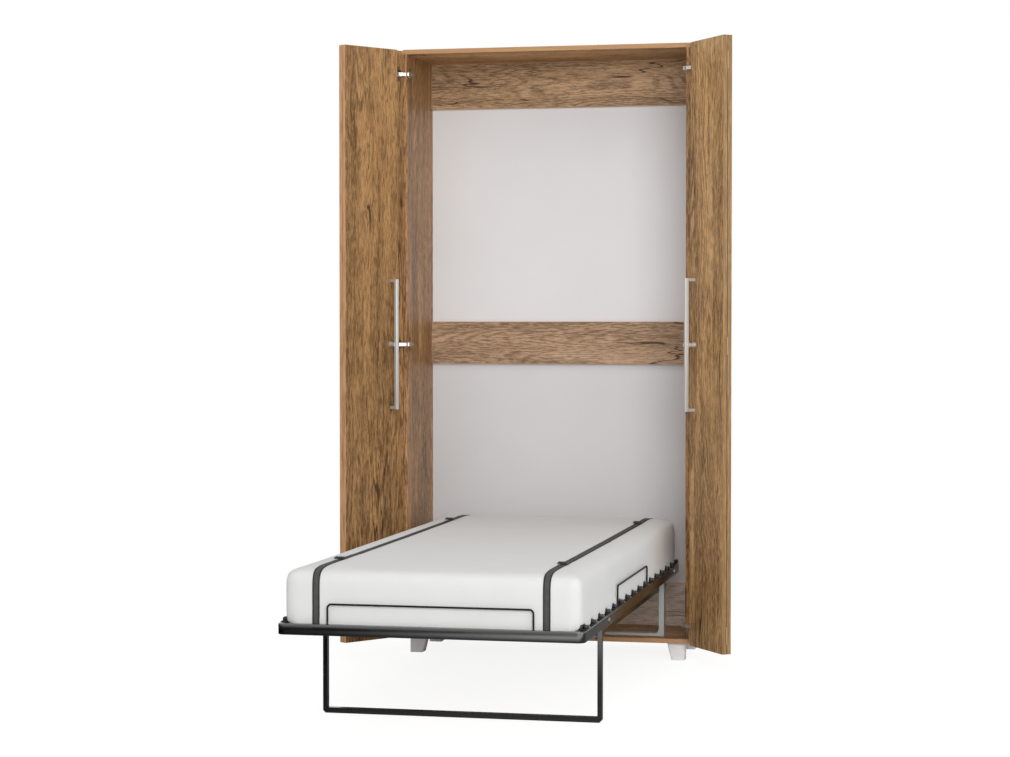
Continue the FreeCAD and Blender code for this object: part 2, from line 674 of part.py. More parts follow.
def mattress_outline(inset, z):
    """Plan outline: gentle inward arcs between rounded corners."""
    half = MATTRESS_HALF_WIDTH - inset
    foot = MATTRESS_FOOT + inset
    head = MATTRESS_HEAD - inset
    draw = 3.0
    r_foot = max(60.0 - inset, 12)
    r_head = max(92.0 - inset, 12)
    s_foot = r_foot * (1 - math.sqrt(0.5))
    s_head = r_head * (1 - math.sqrt(0.5))
    middle = (foot + head) / 2
    arcs = [
        ((half, foot + r_foot), (half - draw, middle), (half, head - r_head)),
        ((half, head - r_head), (half - s_head, head - s_head), (half - r_head, head)),
        ((half - r_head, head), (0, head - draw), (-half + r_head, head)),
        ((-half + r_head, head), (-half + s_head, head - s_head), (-half, head - r_head)),
        ((-half, head - r_head), (-half + draw, middle), (-half, foot + r_foot)),
        ((-half, foot + r_foot), (-half + s_foot, foot + s_foot), (-half + r_foot, foot)),
        ((-half + r_foot, foot), (0, foot + draw / 3), (half - r_foot, foot)),
        ((half - r_foot, foot), (half - s_foot, foot + s_foot), (half, foot + r_foot)),
    ]
    return Part.Wire([Part.Arc(*[V(x, y, z) for x, y in points]).toShape() for points in arcs])


def mattress():
    """Foam mattress: upright sides, a round top edge and a low crown."""
    edge = 44.0
    shoulder = MATTRESS_TOP - edge
    sections = [mattress_outline(12, MATTRESS_BOTTOM), mattress_outline(0, MATTRESS_BOTTOM + 18)]
    for degrees in (0, 30, 60, 84):
        angle = math.radians(degrees)
        inset = edge * (1 - math.cos(angle))
        sections.append(mattress_outline(inset, shoulder + (edge - 1.5) * math.sin(angle)))
    sections.append(mattress_outline(190, MATTRESS_TOP))
    return Part.makeLoft(sections, True, True)


def strap():
    """Webbing from the foot bar over the mattress to the head bar."""
    x0 = STRAP_X - STRAP_WIDTH / 2

    def band(offset):
        edge = 45.0 + offset
        foot = MATTRESS_FOOT - 0.3 - offset
        head = MATTRESS_HEAD + 0.3 + offset
        top = MATTRESS_TOP + 0.3 + offset
        low = MATTRESS_BOTTOM - offset
        s = edge * (1 - math.sqrt(0.5))
        a = V(x0, foot, top - edge)
        b = V(x0, foot + edge, top)
        c = V(x0, head - edge, top)
        d = V(x0, head, top - edge)
        return Part.Face(Part.Wire([
            Part.LineSegment(V(x0, foot, low), a).toShape(),
            Part.Arc(a, V(x0, foot + s, top - s), b).toShape(),
            Part.LineSegment(b, c).toShape(),
            Part.Arc(c, V(x0, head - s, top - s), d).toShape(),
            Part.LineSegment(d, V(x0, head, low)).toShape(),
            Part.LineSegment(V(x0, head, low), V(x0, foot, low)).toShape(),
        ])).extrude(X_AXIS * STRAP_WIDTH)

    ring = band(STRAP_THICKNESS).cut(band(0))
    under = block(x0 - 1, x0 + STRAP_WIDTH + 1, MATTRESS_FOOT - 0.3, 198, 300, MATTRESS_BOTTOM + 1)
    ring = ring.cut(under)
    tail_front = TUBE_WIDTH - BED_REACH
    tail = block(x0, x0 + STRAP_WIDTH, tail_front, MATTRESS_FOOT - 0.3, RAIL_BOTTOM + 4, RAIL_TOP - 4)
    riser = block(x0, x0 + STRAP_WIDTH, MATTRESS_FOOT - 0.3 - STRAP_THICKNESS, MATTRESS_FOOT - 0.3,
                  RAIL_TOP - 4, MATTRESS_BOTTOM)
    return fused([ring, tail, riser])


def strap_slider(y):
    """Flat buckle frame that the webbing threads through."""
    z0 = MATTRESS_TOP + 0.3 + STRAP_THICKNESS
    frame = block(STRAP_X - 15, STRAP_X + 15, y - 12, y + 12, z0, z0 + 2.5)
    corners = [edge for edge in frame.Edges if edge.BoundBox.ZLength > 1]
    frame = frame.makeChamfer(3, corners)
    for start in (y - 8, y + 2):
        frame = frame.cut(block(STRAP_X - 11.5, STRAP_X + 11.5, start, start + 6, z0 - 1, z0 + 4))
    return frame


def pivot_bushing():
    """Nylon bushing in the rail that turns on the stub axle."""
    sleeve = flatted_x(BUSHING_RADIUS, CUP_SIDES, RAIL_INNER, BED_HALF_WIDTH, PIVOT_Y, PIVOT_Z)
    bore = round_x(AXLE_RADIUS + RUN, RAIL_INNER - 1, BED_HALF_WIDTH + 1, PIVOT_Y, PIVOT_Z)
    return sleeve.cut(bore)


def leg_pivot_bolt():
    """Shouldered bolt fixed in the rail; the leg turns on it."""
    nut_end = LEG_INNER - SIDE_GAP
    shank = round_x(LEG_BOLT_RADIUS, nut_end, RAIL_INNER, LEG_Y, PIVOT_Z)
    neck = flatted_x(LEG_BOLT_RADIUS, BOLT_SIDES, RAIL_INNER, BED_HALF_WIDTH, LEG_Y, PIVOT_Z)
    head = flatted_x(8, BOLT_SIDES, BED_HALF_WIDTH, BED_HALF_WIDTH + 3, LEG_Y, PIVOT_Z)
    nut = flatted_x(7, 6, nut_end - 6, nut_end, LEG_Y, PIVOT_Z)
    return fused([shank, neck, head, nut])


def build_bed():
    save_pair("side_rail", side_rail())
    save("foot_bar", foot_bar())
    save("head_bar", head_bar())
    save("cross_bar", cross_bar())
    save_group("rail_end_caps", both_sides([rail_end_cap()]))
    save_group("slats", slats())
    save_group("slat_holders", both_sides(slat_holders()))
    save("foot_wire", foot_wire())
    save_pair("side_wire", side_wire())
    save("mattress", mattress())
    save_group("straps", both_sides([strap()]))
    save_group("strap_sliders", both_sides([strap_slider(y) for y in SLIDER_YS]))
    save_group("pivot_bushings", both_sides([pivot_bushing()]))
    save_group("leg_pivot_bolts", both_sides([leg_pivot_bolt()]))


# ---------------------------------------------------------------- folding leg
def leg_link_bolt():
    """Bolt through the leg below its pivot, with the spacer nut that keeps the link on it."""
    nut_start = LEG_INNER - 17
    nut_end = LEG_INNER - LINK_THICKNESS - 1.5
    shank = flatted_x(LINK_BOLT_RADIUS, BOLT_SIDES, nut_start, LEG_HALF_WIDTH, LEG_Y, LINK_Z)
    nut = flatted_x(NUT_RADIUS, BOLT_SIDES, nut_start, nut_end, LEG_Y, LINK_Z)
    return fused([shank, nut])


def leg_upright():
    """Grooved bar with a top rounded about its pivot."""
    y0 = LEG_Y - LEG_DEPTH / 2
    y1 = LEG_Y + LEG_DEPTH / 2
    post = block(LEG_INNER, LEG_HALF_WIDTH, y0, y1, LEG_FOOT_HEIGHT, PIVOT_Z)
    cap = round_x(LEG_DEPTH / 2, LEG_INNER, LEG_HALF_WIDTH, LEG_Y, PIVOT_Z)
    groove = 1.5
    edge = 3.5
    bore = round_x(LEG_BOLT_RADIUS + RUN, LEG_INNER - 1, LEG_HALF_WIDTH + 1, LEG_Y, PIVOT_Z)
    cuts = [bore, leg_link_bolt()]
    for front in (y0 - 1, y1 - groove):
        cuts.append(block(LEG_INNER + edge, LEG_HALF_WIDTH - edge, front, front + groove + 1,
                          LEG_FOOT_HEIGHT - 1, PIVOT_Z - 14))
    return fused([post, cap]).cut(Part.makeCompound(cuts))


def leg_foot_bar():
    """Cross bar that stands on the floor, its lower outer corners cut off at 45 degrees."""
    cut = 8.0
    half = LEG_HALF_WIDTH
    top = LEG_FOOT_HEIGHT
    profile = [(-half + cut, 0), (half - cut, 0), (half, cut), (half, top), (-half, top), (-half, cut)]
    bar = prism(profile, "XZ", LEG_Y - LEG_DEPTH / 2, LEG_DEPTH)
    groove = 1.5
    edge = 4.5
    cuts = []
    for front in (LEG_Y - LEG_DEPTH / 2 - 1, LEG_Y + LEG_DEPTH / 2 - groove):
        cuts.append(block(LEG_WIDTH - half, half - LEG_WIDTH, front, front + groove + 1, edge, top - edge))
    return bar.cut(Part.makeCompound(cuts))


def link():
    """Joggled flat bar from the support upright to the leg; it keeps the leg upright as the bed swings."""
    near_x = UPRIGHT_INNER - 1
    near_x0 = near_x - LINK_THICKNESS - 1
    far_x = LEG_INNER - 1
    far_x0 = far_x - LINK_THICKNESS
    joggle_start = PIVOT_Y - 84
    joggle_end = joggle_start - 40
    plan = [(near_x, PIVOT_Y), (near_x, joggle_start), (far_x, joggle_end), (far_x, LEG_Y),
            (far_x0, LEG_Y), (far_x0, joggle_end), (near_x0, joggle_start), (near_x0, PIVOT_Y)]
    bar = prism(plan, "XY", LINK_Z - LINK_HEIGHT / 2, LINK_HEIGHT)
    near_eye = flatted_x(9, BOLT_SIDES, near_x0, near_x, PIVOT_Y, LINK_Z)
    far_eye = flatted_x(9.5, BOLT_SIDES, far_x0, far_x, LEG_Y - 1, LINK_Z)
    near_hole = round_x(LINK_BOLT_RADIUS + RUN, near_x0 - 1, near_x + 1, PIVOT_Y, LINK_Z)
    front = LEG_Y - 3
    rear = LEG_Y + 0.6
    half = 4.9
    slot = fused([
        round_x(half, far_x0 - 1, far_x + 1, front, LINK_Z),
        round_x(half, far_x0 - 1, far_x + 1, rear, LINK_Z),
        block(far_x0 - 1, far_x + 1, front, rear, LINK_Z - half, LINK_Z + half),
    ])
    return fused([bar, near_eye, far_eye]).cut(Part.makeCompound([near_hole, slot]))


def build_leg():
    save_pair("leg_upright", leg_upright())
    save("leg_foot_bar", leg_foot_bar())
    save_group("leg_link_bolts", both_sides([leg_link_bolt()]))
    save_pair("link", link())


# ---------------------------------------------------------------- gas springs
def spring_direction():
    return V(0, SPRING_STUD_Y - PIVOT_Y, SPRING_STUD_Z - LINK_Z)


def spring_eye(y, z):
    start = SPRING_X - SPRING_EYE_HALF
    return flatted_x(SPRING_EYE_RADIUS, BOLT_SIDES, start, start + 2 * SPRING_EYE_HALF, y, z)


def spring_cylinder():
    """Gas spring body with the eye that turns on the link bolt."""
    base = V(SPRING_X, PIVOT_Y, LINK_Z)
    along = spring_direction().normalize()
    barrel_start = 16.0
    barrel_end = 285.0
    bore_start = 180.0
    eye = spring_eye(PIVOT_Y, LINK_Z)
    neck = flatted(4, SCREW_SIDES, base + along * 5, along, barrel_start - 2)
    barrel = Part.makeCylinder(SPRING_RADIUS, barrel_end - barrel_start, base + along * barrel_start, along)
    bore = flatted(around(ROD_RADIUS + RUN, BOLT_SIDES), BOLT_SIDES, base + along * bore_start, along,
                   barrel_end + 1 - bore_start)
    hole = round_x(LINK_BOLT_RADIUS + RUN, SPRING_X - 5, SPRING_X + 5, PIVOT_Y, LINK_Z)
    return fused([eye, neck, barrel]).cut(Part.makeCompound([bore, hole]))


def spring_rod():
    """Polished rod with an eye at the cross bar's stud."""
    base = V(SPRING_X, PIVOT_Y, LINK_Z)
    reach = spring_direction().Length
    along = spring_direction().normalize()
    rod_start = 186.0
    rod = Part.makeCylinder(ROD_RADIUS, reach - 6 - rod_start, base + along * rod_start, along)
    eye = spring_eye(SPRING_STUD_Y, SPRING_STUD_Z)
    hole = flatted_x(4.4, BOLT_SIDES, SPRING_X - 5, SPRING_X + 5, SPRING_STUD_Y, SPRING_STUD_Z)
    return fused([rod, eye]).cut(hole)


def build_springs():
    save_pair("gas_cylinder", spring_cylinder())
    save_pair("gas_rod", spring_rod())


os.makedirs("parts", exist_ok=True)
build_cabinet()
build_support()
build_doors()
build_bed()
build_leg()
build_springs()
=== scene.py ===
import bpy
import math
from mathutils import Matrix, Vector


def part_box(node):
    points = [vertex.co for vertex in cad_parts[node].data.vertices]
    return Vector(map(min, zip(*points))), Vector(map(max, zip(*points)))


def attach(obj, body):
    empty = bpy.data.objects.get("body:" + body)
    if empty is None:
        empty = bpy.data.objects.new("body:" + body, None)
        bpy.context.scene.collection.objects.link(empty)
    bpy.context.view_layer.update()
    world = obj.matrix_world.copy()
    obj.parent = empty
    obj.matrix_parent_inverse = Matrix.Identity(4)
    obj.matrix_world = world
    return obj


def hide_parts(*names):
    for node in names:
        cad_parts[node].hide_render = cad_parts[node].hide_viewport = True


# Looks of a single folding wall bed: oak-faced cabinet and folding doors, black steel bed
# frame, mattress held by two webbing straps. Metres; X to the viewer's right, Y to the wall.

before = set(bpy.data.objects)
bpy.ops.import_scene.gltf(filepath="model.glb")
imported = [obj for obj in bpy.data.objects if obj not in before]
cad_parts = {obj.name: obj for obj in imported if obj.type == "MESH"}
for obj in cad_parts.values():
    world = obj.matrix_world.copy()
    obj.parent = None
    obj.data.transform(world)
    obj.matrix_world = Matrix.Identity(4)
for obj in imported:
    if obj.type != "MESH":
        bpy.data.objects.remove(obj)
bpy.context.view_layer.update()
bpy.ops.object.select_all(action="DESELECT")

# ---- doors and boards
DOOR_OPEN = math.radians(125.3)          # the leaves stand this far from closed
HINGED_LEAF_WIDTH = 0.283
FOLDING_LEAF_WIDTH = 0.243
EDGE_BAND = 0.0011                       # thickness of the edge banding that shows
BOARD_THICKNESS_LIMIT = 0.02             # a board that is lower than this lies flat
HINGE_HEIGHTS = (0.129, 1.133, 2.118)
HINGE_ARM_HALF = 0.009                   # the bright arm reaches this far up and down
HANDLE_GROWTH = 0.0026                   # the bar is filled out by this before it is rounded
HANDLE_ROUNDING = 0.0009
FOOT_ROUNDING = 0.0016
EDGING_DEPTH = 0.0010
# ---- mattress
SHRINK = 0.003  # the blank starts this much smaller and swells
VOXEL = 0.0145
HEAD_CORNER = 0.085                      # plan radius at the head end
FOOT_CORNER = 0.030
TOP_ROUND = 0.033
HEM_ROUND = 0.005
SWELL_FRAMES = 20
AIR_PRESSURE = 4.0
SWELL_CAP = 0.0075                       # no point of the cover moves further than this
# ---- slats and their holders
SLAT_COUNT = 15
SLAT_PITCH = 0.124
SLAT_WIDTH = 0.050
SLAT_ROUNDING = 0.0022
SLAT_END_GAP = 0.0150                    # from the holders' outer faces to the slats' ends
HOLDER_FOOT = (0.056, 0.0024)            # length and height of the plate on the rail
OUTER_LUMP = (0.0130, 0.026, 0.0120)
OUTER_LUMP_INSET = 0.0080
INNER_LUMP = (0.0120, 0.054, 0.0150)
INNER_LUMP_INSET = 0.0202
# ---- straps and buckles
STRAP_X = 0.346
STRAP_WIDTH = 0.022
STRAP_THICKNESS = 0.0014
STRAP_BEND = 0.036                       # radius of the webbing round the mattress's edge
STRAP_DIP = 0.0022                       # the straps press the cover in by this much
STRAP_CLEARANCE = 0.0003
SLIDER_YS = (-0.7795, 0.6345)
BAR_SHIFT = 0.0125                       # from a buckle's middle bar to its outer bars
BAR_LENGTH = 0.030
MIDDLE_BAR_HEIGHT = 0.0065
OUTER_BAR_HEIGHT = 0.0045
BUCKLE_SIDE = (0.004, 0.030, 0.0044)
# ---- steel frame and wires
TUBE_WIDTH = 0.020
TUBE_HEIGHT = 0.033
TUBE_CORNER = 0.003
FRAME_BEND = 0.022                       # outer radius of the frame's corner in plan
WIRE_RADIUS = 0.003
HOOP_BEND = 0.012
PLUG_ROUNDING = 0.0014
# ---- camera, light and floor
CAMERA_PLACE = (1.6467, -7.5445, 1.2252)
CAMERA_TILT = math.radians(88.532)
CAMERA_PAN = math.radians(12.3275)
LENS = 82.49
WHITE = (1, 1, 1, 1)
SKY_LIGHT = 0.55
FLOOR_SIZE = 60
FLOOR_LEVEL = -0.0005
FLOOR_GLOW = 0.75                        # share of the floor's look that is plain white
FLOOR_LIFT = 0.13
POOL_EDGE = -1.2                         # in reflections the floor's light falls off to the left
POOL_FULL = 0.1
POOL_NEAR = -1.9                         # and towards the cabinet, between these two places
POOL_FAR = -2.9
POOL_FALLOFF = 1.6
POOL_LIGHT = 2.0


# ---------------------------------------------------------------- colour and shading helpers
def srgb(red, green, blue):
    """Colour as written on a screen, 0 to 255, to the linear values that a shader takes."""
    linear = []
    for part in (red, green, blue):
        value = part / 255
        linear.append(value / 12.92 if value <= 0.04045 else ((value + 0.055) / 1.055) ** 2.4)
    return (*linear, 1.0)


def start_finish(name, colour, roughness, metallic=0.0, specular=0.5):
    """A new material and its main shader, with the values that are even all over."""
    material = bpy.data.materials.new(name)
    material.use_nodes = True
    shader = material.node_tree.nodes["Principled BSDF"]
    shader.inputs["Base Color"].default_value = colour
    shader.inputs["Roughness"].default_value = roughness
    shader.inputs["Metallic"].default_value = metallic
    shader.inputs["Specular IOR Level"].default_value = specular
    return material, shader


def add(material, kind, inputs=None, **settings):
    """A node with its settings, its input numbers and the sockets that feed it."""
    made = material.node_tree.nodes.new(kind)
    for key, value in settings.items():
        setattr(made, key, value)
    for key, value in (inputs or {}).items():
        if isinstance(value, bpy.types.NodeSocket):
            material.node_tree.links.new(value, made.inputs[key])
        else:
            made.inputs[key].default_value = value
    return made


def feed(material, socket, target):
    """Joins an output to an input."""
    material.node_tree.links.new(socket, target)


def figure(material, operation, first, second=0.0):
    """One step of arithmetic on numbers or sockets."""
    node = add(material, "ShaderNodeMath", {0: first, 1: second}, operation=operation)
    return node.outputs[0]


def spread(material, value, low, high, to_low=0.0, to_high=1.0):
    """Maps a range of values smoothly onto another."""
    inputs = {"Value": value, "From Min": low, "From Max": high,
              "To Min": to_low, "To Max": to_high}
    node = add(material, "ShaderNodeMapRange", inputs, interpolation_type="SMOOTHSTEP")
    return node.outputs[0]


def mixed(material, factor, first, second):
    """The first colour, turned towards the second by a factor."""
    node = add(material, "ShaderNodeMix", {0: factor, 6: first, 7: second}, data_type="RGBA")
    return node.outputs[2]


def tinted(material, wood, field, start, end, weight, colour):
    """Where a field goes from start to end, the wood turns to a colour, by the weight at most."""
    return mixed(material, spread(material, field, start, end, 0.0, weight), wood, colour)


def object_place(material):
    """Coordinates in metres, in the object's own frame."""
    return add(material, "ShaderNodeTexCoord").outputs["Object"]


def stretched(material, place, scale, location=(0, 0, 0), rotation=(0, 0, 0)):
    """Coordinates stretched, moved or turned, so that a pattern runs along its piece."""
    node = add(material, "ShaderNodeMapping",
               {"Vector": place, "Scale": scale, "Location": location, "Rotation": rotation})
    return node.outputs[0]


def noise(material, place, scale, detail=2.0, roughness=0.5):
    """Soft irregular field between 0 and 1."""
    node = add(material, "ShaderNodeTexNoise",
               {"Vector": place, "Scale": scale, "Detail": detail, "Roughness": roughness})
    return node.outputs["Fac"]


def ramp(material, value, *stops):
    """Colour ramp; each stop is a position and a colour."""
    node = add(material, "ShaderNodeValToRGB", {"Fac": value})
    elements = node.color_ramp.elements
    elements[0].position, elements[0].color = stops[0]
    elements[1].position, elements[1].color = stops[-1]
    for position, colour in stops[1:-1]:
        elements.new(position).color = colour
    return node.outputs["Color"]


def roughen(material, shader, height, strength, distance):
    """Fine relief from a height field."""
    bump = add(material, "ShaderNodeBump",
               {"Height": height, "Strength": strength, "Distance": distance})
    feed(material, bump.outputs["Normal"], shader.inputs["Normal"])


# ---------------------------------------------------------------- finishes
def grain_place(material, board, seed):
    """The board's coordinates, moved to their own part of the pattern, and the same wandering."""
    offset = (seed * 3.7, seed * 1.9, seed * 5.3)
    place = stretched(material, board, (1, 1, 1), offset)
    wander = add(material, "ShaderNodeTexNoise",
                 {"Vector": stretched(material, place, (1, 1, 0.45)), "Scale": 4.5, "Detail": 3.0})
    shift = add(material, "ShaderNodeVectorMath", {0: wander.outputs["Color"], 1: (0.5, 0.5, 0.5)},
                operation="SUBTRACT")
    shift = add(material, "ShaderNodeVectorMath", {0: shift.outputs[0], 1: (0.05, 0.02, 0.0)},
                operation="MULTIPLY")
    grain = add(material, "ShaderNodeVectorMath", {0: place, 1: shift.outputs[0]}, operation="ADD")
    return place, grain.outputs[0]


def crack_lines(material, place, grain):
    """Thin dark shakes that run with the grain in a few zones of the board."""
    field = noise(material, stretched(material, grain, (1, 1, 0.08)), 11.0, 3.0, 0.55)
    line = spread(material, figure(material, "ABSOLUTE", figure(material, "SUBTRACT", field, 0.5)),
                  0.0025, 0.0080, 1.0, 0.0)
    zone = noise(material, stretched(material, place, (1, 1, 0.30), (4, 2, 9)), 6.0, 2.0)
    return figure(material, "MULTIPLY", line, spread(material, zone, 0.50, 0.56))


def oak_figure(material, place, grain, tone):
    """The laminate's colour: broad bands, fine cathedral arches, streaks and pores."""
    light = srgb(*[min(255, part * factor) for part, factor in zip(tone, (1.24, 1.26, 1.34))])
    brown = srgb(tone[0] * 0.55, tone[1] * 0.49, tone[2] * 0.44)
    broad = noise(material, stretched(material, grain, (1, 1, 0.10)), 13.0, 3.0, 0.6)
    arch_field = noise(material, stretched(material, grain, (1, 1, 0.13)), 6.0, 1.5)
    ragged = noise(material, stretched(material, grain, (1, 1, 0.3)), 170.0, 2.0)
    phase = figure(material, "ADD", figure(material, "MULTIPLY", arch_field, 190.0),
                   figure(material, "MULTIPLY", ragged, 2.5))
    arches = figure(material, "SINE", phase)
    zone = noise(material, stretched(material, place, (1, 1, 0.3), (7, 3, 1)), 5.0, 2.0)
    arch_zone = spread(material, zone, 0.40, 0.52)
    bands = noise(material, stretched(material, grain, (1, 1, 0.02)), 34.0, 2.0, 0.6)
    streaks = noise(material, stretched(material, grain, (1, 1, 0.05)), 190.0, 3.0, 0.7)
    fibres = noise(material, stretched(material, grain, (1, 1, 0.09)), 340.0, 2.0, 0.7)
    blotches = noise(material, stretched(material, grain, (1, 1, 0.40)), 20.0, 4.0, 0.65)

    shade = srgb(*[part * 0.86 for part in tone])
    wood = ramp(material, broad, (0.38, shade), (0.50, srgb(*tone)), (0.62, light))
    wood = tinted(material, wood, blotches, 0.52, 0.68, 0.34, brown)
    wood = tinted(material, wood, blotches, 0.48, 0.36, 0.25, light)
    wood = tinted(material, wood, bands, 0.50, 0.62, 0.34, brown)
    wood = tinted(material, wood, bands, 0.48, 0.36, 0.30, light)
    arch_weight = figure(material, "MULTIPLY", spread(material, arches, -0.1, 0.9, 0.0, 0.62),
                         arch_zone)
    wood = mixed(material, arch_weight, wood, brown)
    wood = tinted(material, wood, streaks, 0.51, 0.63, 0.42, brown)
    wood = tinted(material, wood, streaks, 0.48, 0.36, 0.40, light)
    wood = tinted(material, wood, fibres, 0.51, 0.62, 0.66, brown)
    wood = tinted(material, wood, fibres, 0.48, 0.37, 0.62, light)
    return wood, streaks, fibres


def oak(name, centre, turn, along_x, half_across, half_along, tone, seed, banding, calm, lying):
    """Oak-faced board. On the board W runs along the grain and U across it."""
    material, shader = start_finish(name, srgb(*tone), 0.42, specular=0.3)
    rotation = (0, math.radians(-90), 0) if along_x else (0, 0, -turn)
    turned = Matrix.Rotation(rotation[2], 3, "Z") @ Matrix.Rotation(rotation[1], 3, "Y") @ centre
    board = stretched(material, object_place(material), (1, 1, 1), -turned, rotation)
    place, grain = grain_place(material, board, seed)
    wood, streaks, fibres = oak_figure(material, place, grain, tone)
    wood = mixed(material, calm, wood, srgb(*[part * 0.9 for part in tone]))

    cracks = crack_lines(material, place, grain)
    knots = add(material, "ShaderNodeTexVoronoi",
                {"Vector": stretched(material, grain, (1, 0.2, 0.35)), "Scale": 3.4,
                 "Randomness": 1.0})
    knot_core = spread(material, knots.outputs["Distance"], 0.012, 0.034, 1.0, 0.0)
    knot_halo = spread(material, knots.outputs["Distance"], 0.02, 0.13, 0.4, 0.0)
    darkest = srgb(70, 44, 24)
    halo_colour = srgb(tone[0] * 0.62, tone[1] * 0.54, tone[2] * 0.46)
    wood = mixed(material, knot_halo, wood, halo_colour)
    dark_spots = figure(material, "MAXIMUM", figure(material, "MULTIPLY", cracks, 0.95),
                        knot_core)
    wood = mixed(material, dark_spots, wood, darkest)

    parts = add(material, "ShaderNodeSeparateXYZ", {0: board})
    across = figure(material, "ABSOLUTE", parts.outputs[1 if lying else 0])
    along = figure(material, "ABSOLUTE", parts.outputs[2])
    band = figure(material, "MAXIMUM",
                  figure(material, "GREATER_THAN", across, half_across - EDGE_BAND),
                  figure(material, "GREATER_THAN", along, half_along - EDGE_BAND))
    pale = srgb(min(255, tone[0] * banding), tone[1] * banding, tone[2] * (banding * 1.35 - 0.25))
    strip = tinted(material, pale, streaks, 0.45, 0.62, 0.7, srgb(*tone))
    feed(material, mixed(material, band, wood, strip), shader.inputs["Base Color"])
    feed(material, spread(material, fibres, 0.3, 0.7, 0.36, 0.52), shader.inputs["Roughness"])

    height = figure(material, "ADD", figure(material, "MULTIPLY", fibres, -0.5),
                    figure(material, "MULTIPLY", dark_spots, -1.0))
    roughen(material, shader, height, 0.3, 0.0005)
    return material


def board_finish(node, along_x, tone, seed, turn=0.0, width=None, banding=1.13, calm=0.0):
    """Oak laminate on one flat board; its grain runs up it, or along X."""
    low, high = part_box(node)
    size = high - low
    half_along = (size.x if along_x else size.z) / 2
    lying = size.z < BOARD_THICKNESS_LIMIT
    across = width if width else (size.z if along_x and not lying else size.y)
    finish = oak("oak_" + node, (low + high) / 2, turn, along_x, across / 2, half_along, tone, seed,
                 banding, calm, lying)
    paint(node, finish)


def paint(node, finish):
    """Gives a CAD node its finish, in every material slot."""
    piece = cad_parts[node]
    for slot in piece.material_slots:
        slot.material = finish
    if not piece.material_slots:
        piece.data.materials.append(finish)


def mottled(name, colour, roughness, metallic=0.0, specular=0.5, variation=0.06, grain=0.0002):
    """Plain moulded, painted or plated finish with slight changes of tone and a fine skin."""
    material, shader = start_finish(name, srgb(*colour), roughness, metallic, specular)
    place = object_place(material)
    cloud = noise(material, place, 7.0, 3.0)
    dark = srgb(*[part * (1 - variation) for part in colour])
    light = srgb(*[min(255, part * (1 + variation)) for part in colour])
    feed(material, mixed(material, cloud, dark, light), shader.inputs["Base Color"])
    roughen(material, shader, noise(material, place, 1200.0, 2.0), 0.35, grain)
    rough = spread(material, cloud, 0.2, 0.8, roughness - 0.04, roughness + 0.05)
    feed(material, rough, shader.inputs["Roughness"])
    return material


def brushed(name, colour, roughness):
    """Satin metal brushed up and down."""
    material, shader = start_finish(name, srgb(*colour), roughness, 0.35)
    along = stretched(material, object_place(material), (900.0, 900.0, 9.0))
    lines = noise(material, along, 1.0, 3.0)
    feed(material, spread(material, lines, 0.3, 0.7, roughness - 0.06, roughness + 0.08),
         shader.inputs["Roughness"])
    dark = srgb(*[part * 0.92 for part in colour])
    feed(material, mixed(material, lines, dark, srgb(*colour)), shader.inputs["Base Color"])
    roughen(material, shader, lines, 0.12, 0.0001)
    return material


def back_board(name, white):
    """Hardboard: faintly cloudy white paint on the face, raw brown fibre on the wall side."""
    material, shader = start_finish(name, srgb(white, white, white), 0.55, specular=0.35)
    place = object_place(material)
    cloud = noise(material, place, 2.2, 3.0)
    paint_colour = mixed(material, cloud, srgb(white - 7, white - 8, white - 7),
                         srgb(white + 7, white + 6, white + 7))
    flecks = noise(material, place, 260.0, 4.0, 0.7)
    fibre = ramp(material, flecks, (0.30, srgb(112, 84, 58)), (0.50, srgb(142, 110, 78)),
                 (0.72, srgb(166, 134, 98)))
    normal = add(material, "ShaderNodeTexCoord").outputs["Normal"]
    facing = add(material, "ShaderNodeSeparateXYZ", {0: normal}).outputs[1]
    behind = figure(material, "GREATER_THAN", facing, -0.5)
    feed(material, mixed(material, behind, paint_colour, fibre), shader.inputs["Base Color"])
    roughen(material, shader, noise(material, place, 300.0, 2.0), 0.2, 0.0002)
    return material


def mattress_fabric():
    """Close knit in off-white, with small loops in relief."""
    material, shader = start_finish("mattress_knit", srgb(209, 209, 208), 0.9, specular=0.15)
    shader.inputs["Sheen Weight"].default_value = 0.15
    place = object_place(material)
    cloud = noise(material, place, 6.0, 3.0)
    yarn = mixed(material, cloud, srgb(204, 204, 203), srgb(212, 212, 211))
    feed(material, yarn, shader.inputs["Base Color"])
    rows = []
    for slant in ((0.6, 0.5, 0.78), (-0.6, 0.4, -0.78)):
        turned = stretched(material, place, (1, 1, 1), rotation=slant)
        rows.append(add(material, "ShaderNodeTexWave",
                        {"Vector": turned, "Scale": 160.0, "Distortion": 2.0, "Detail": 1.0},
                        bands_direction="X").outputs["Fac"])
    roughen(material, shader, figure(material, "MULTIPLY", *rows), 0.3, 0.0005)
    return material


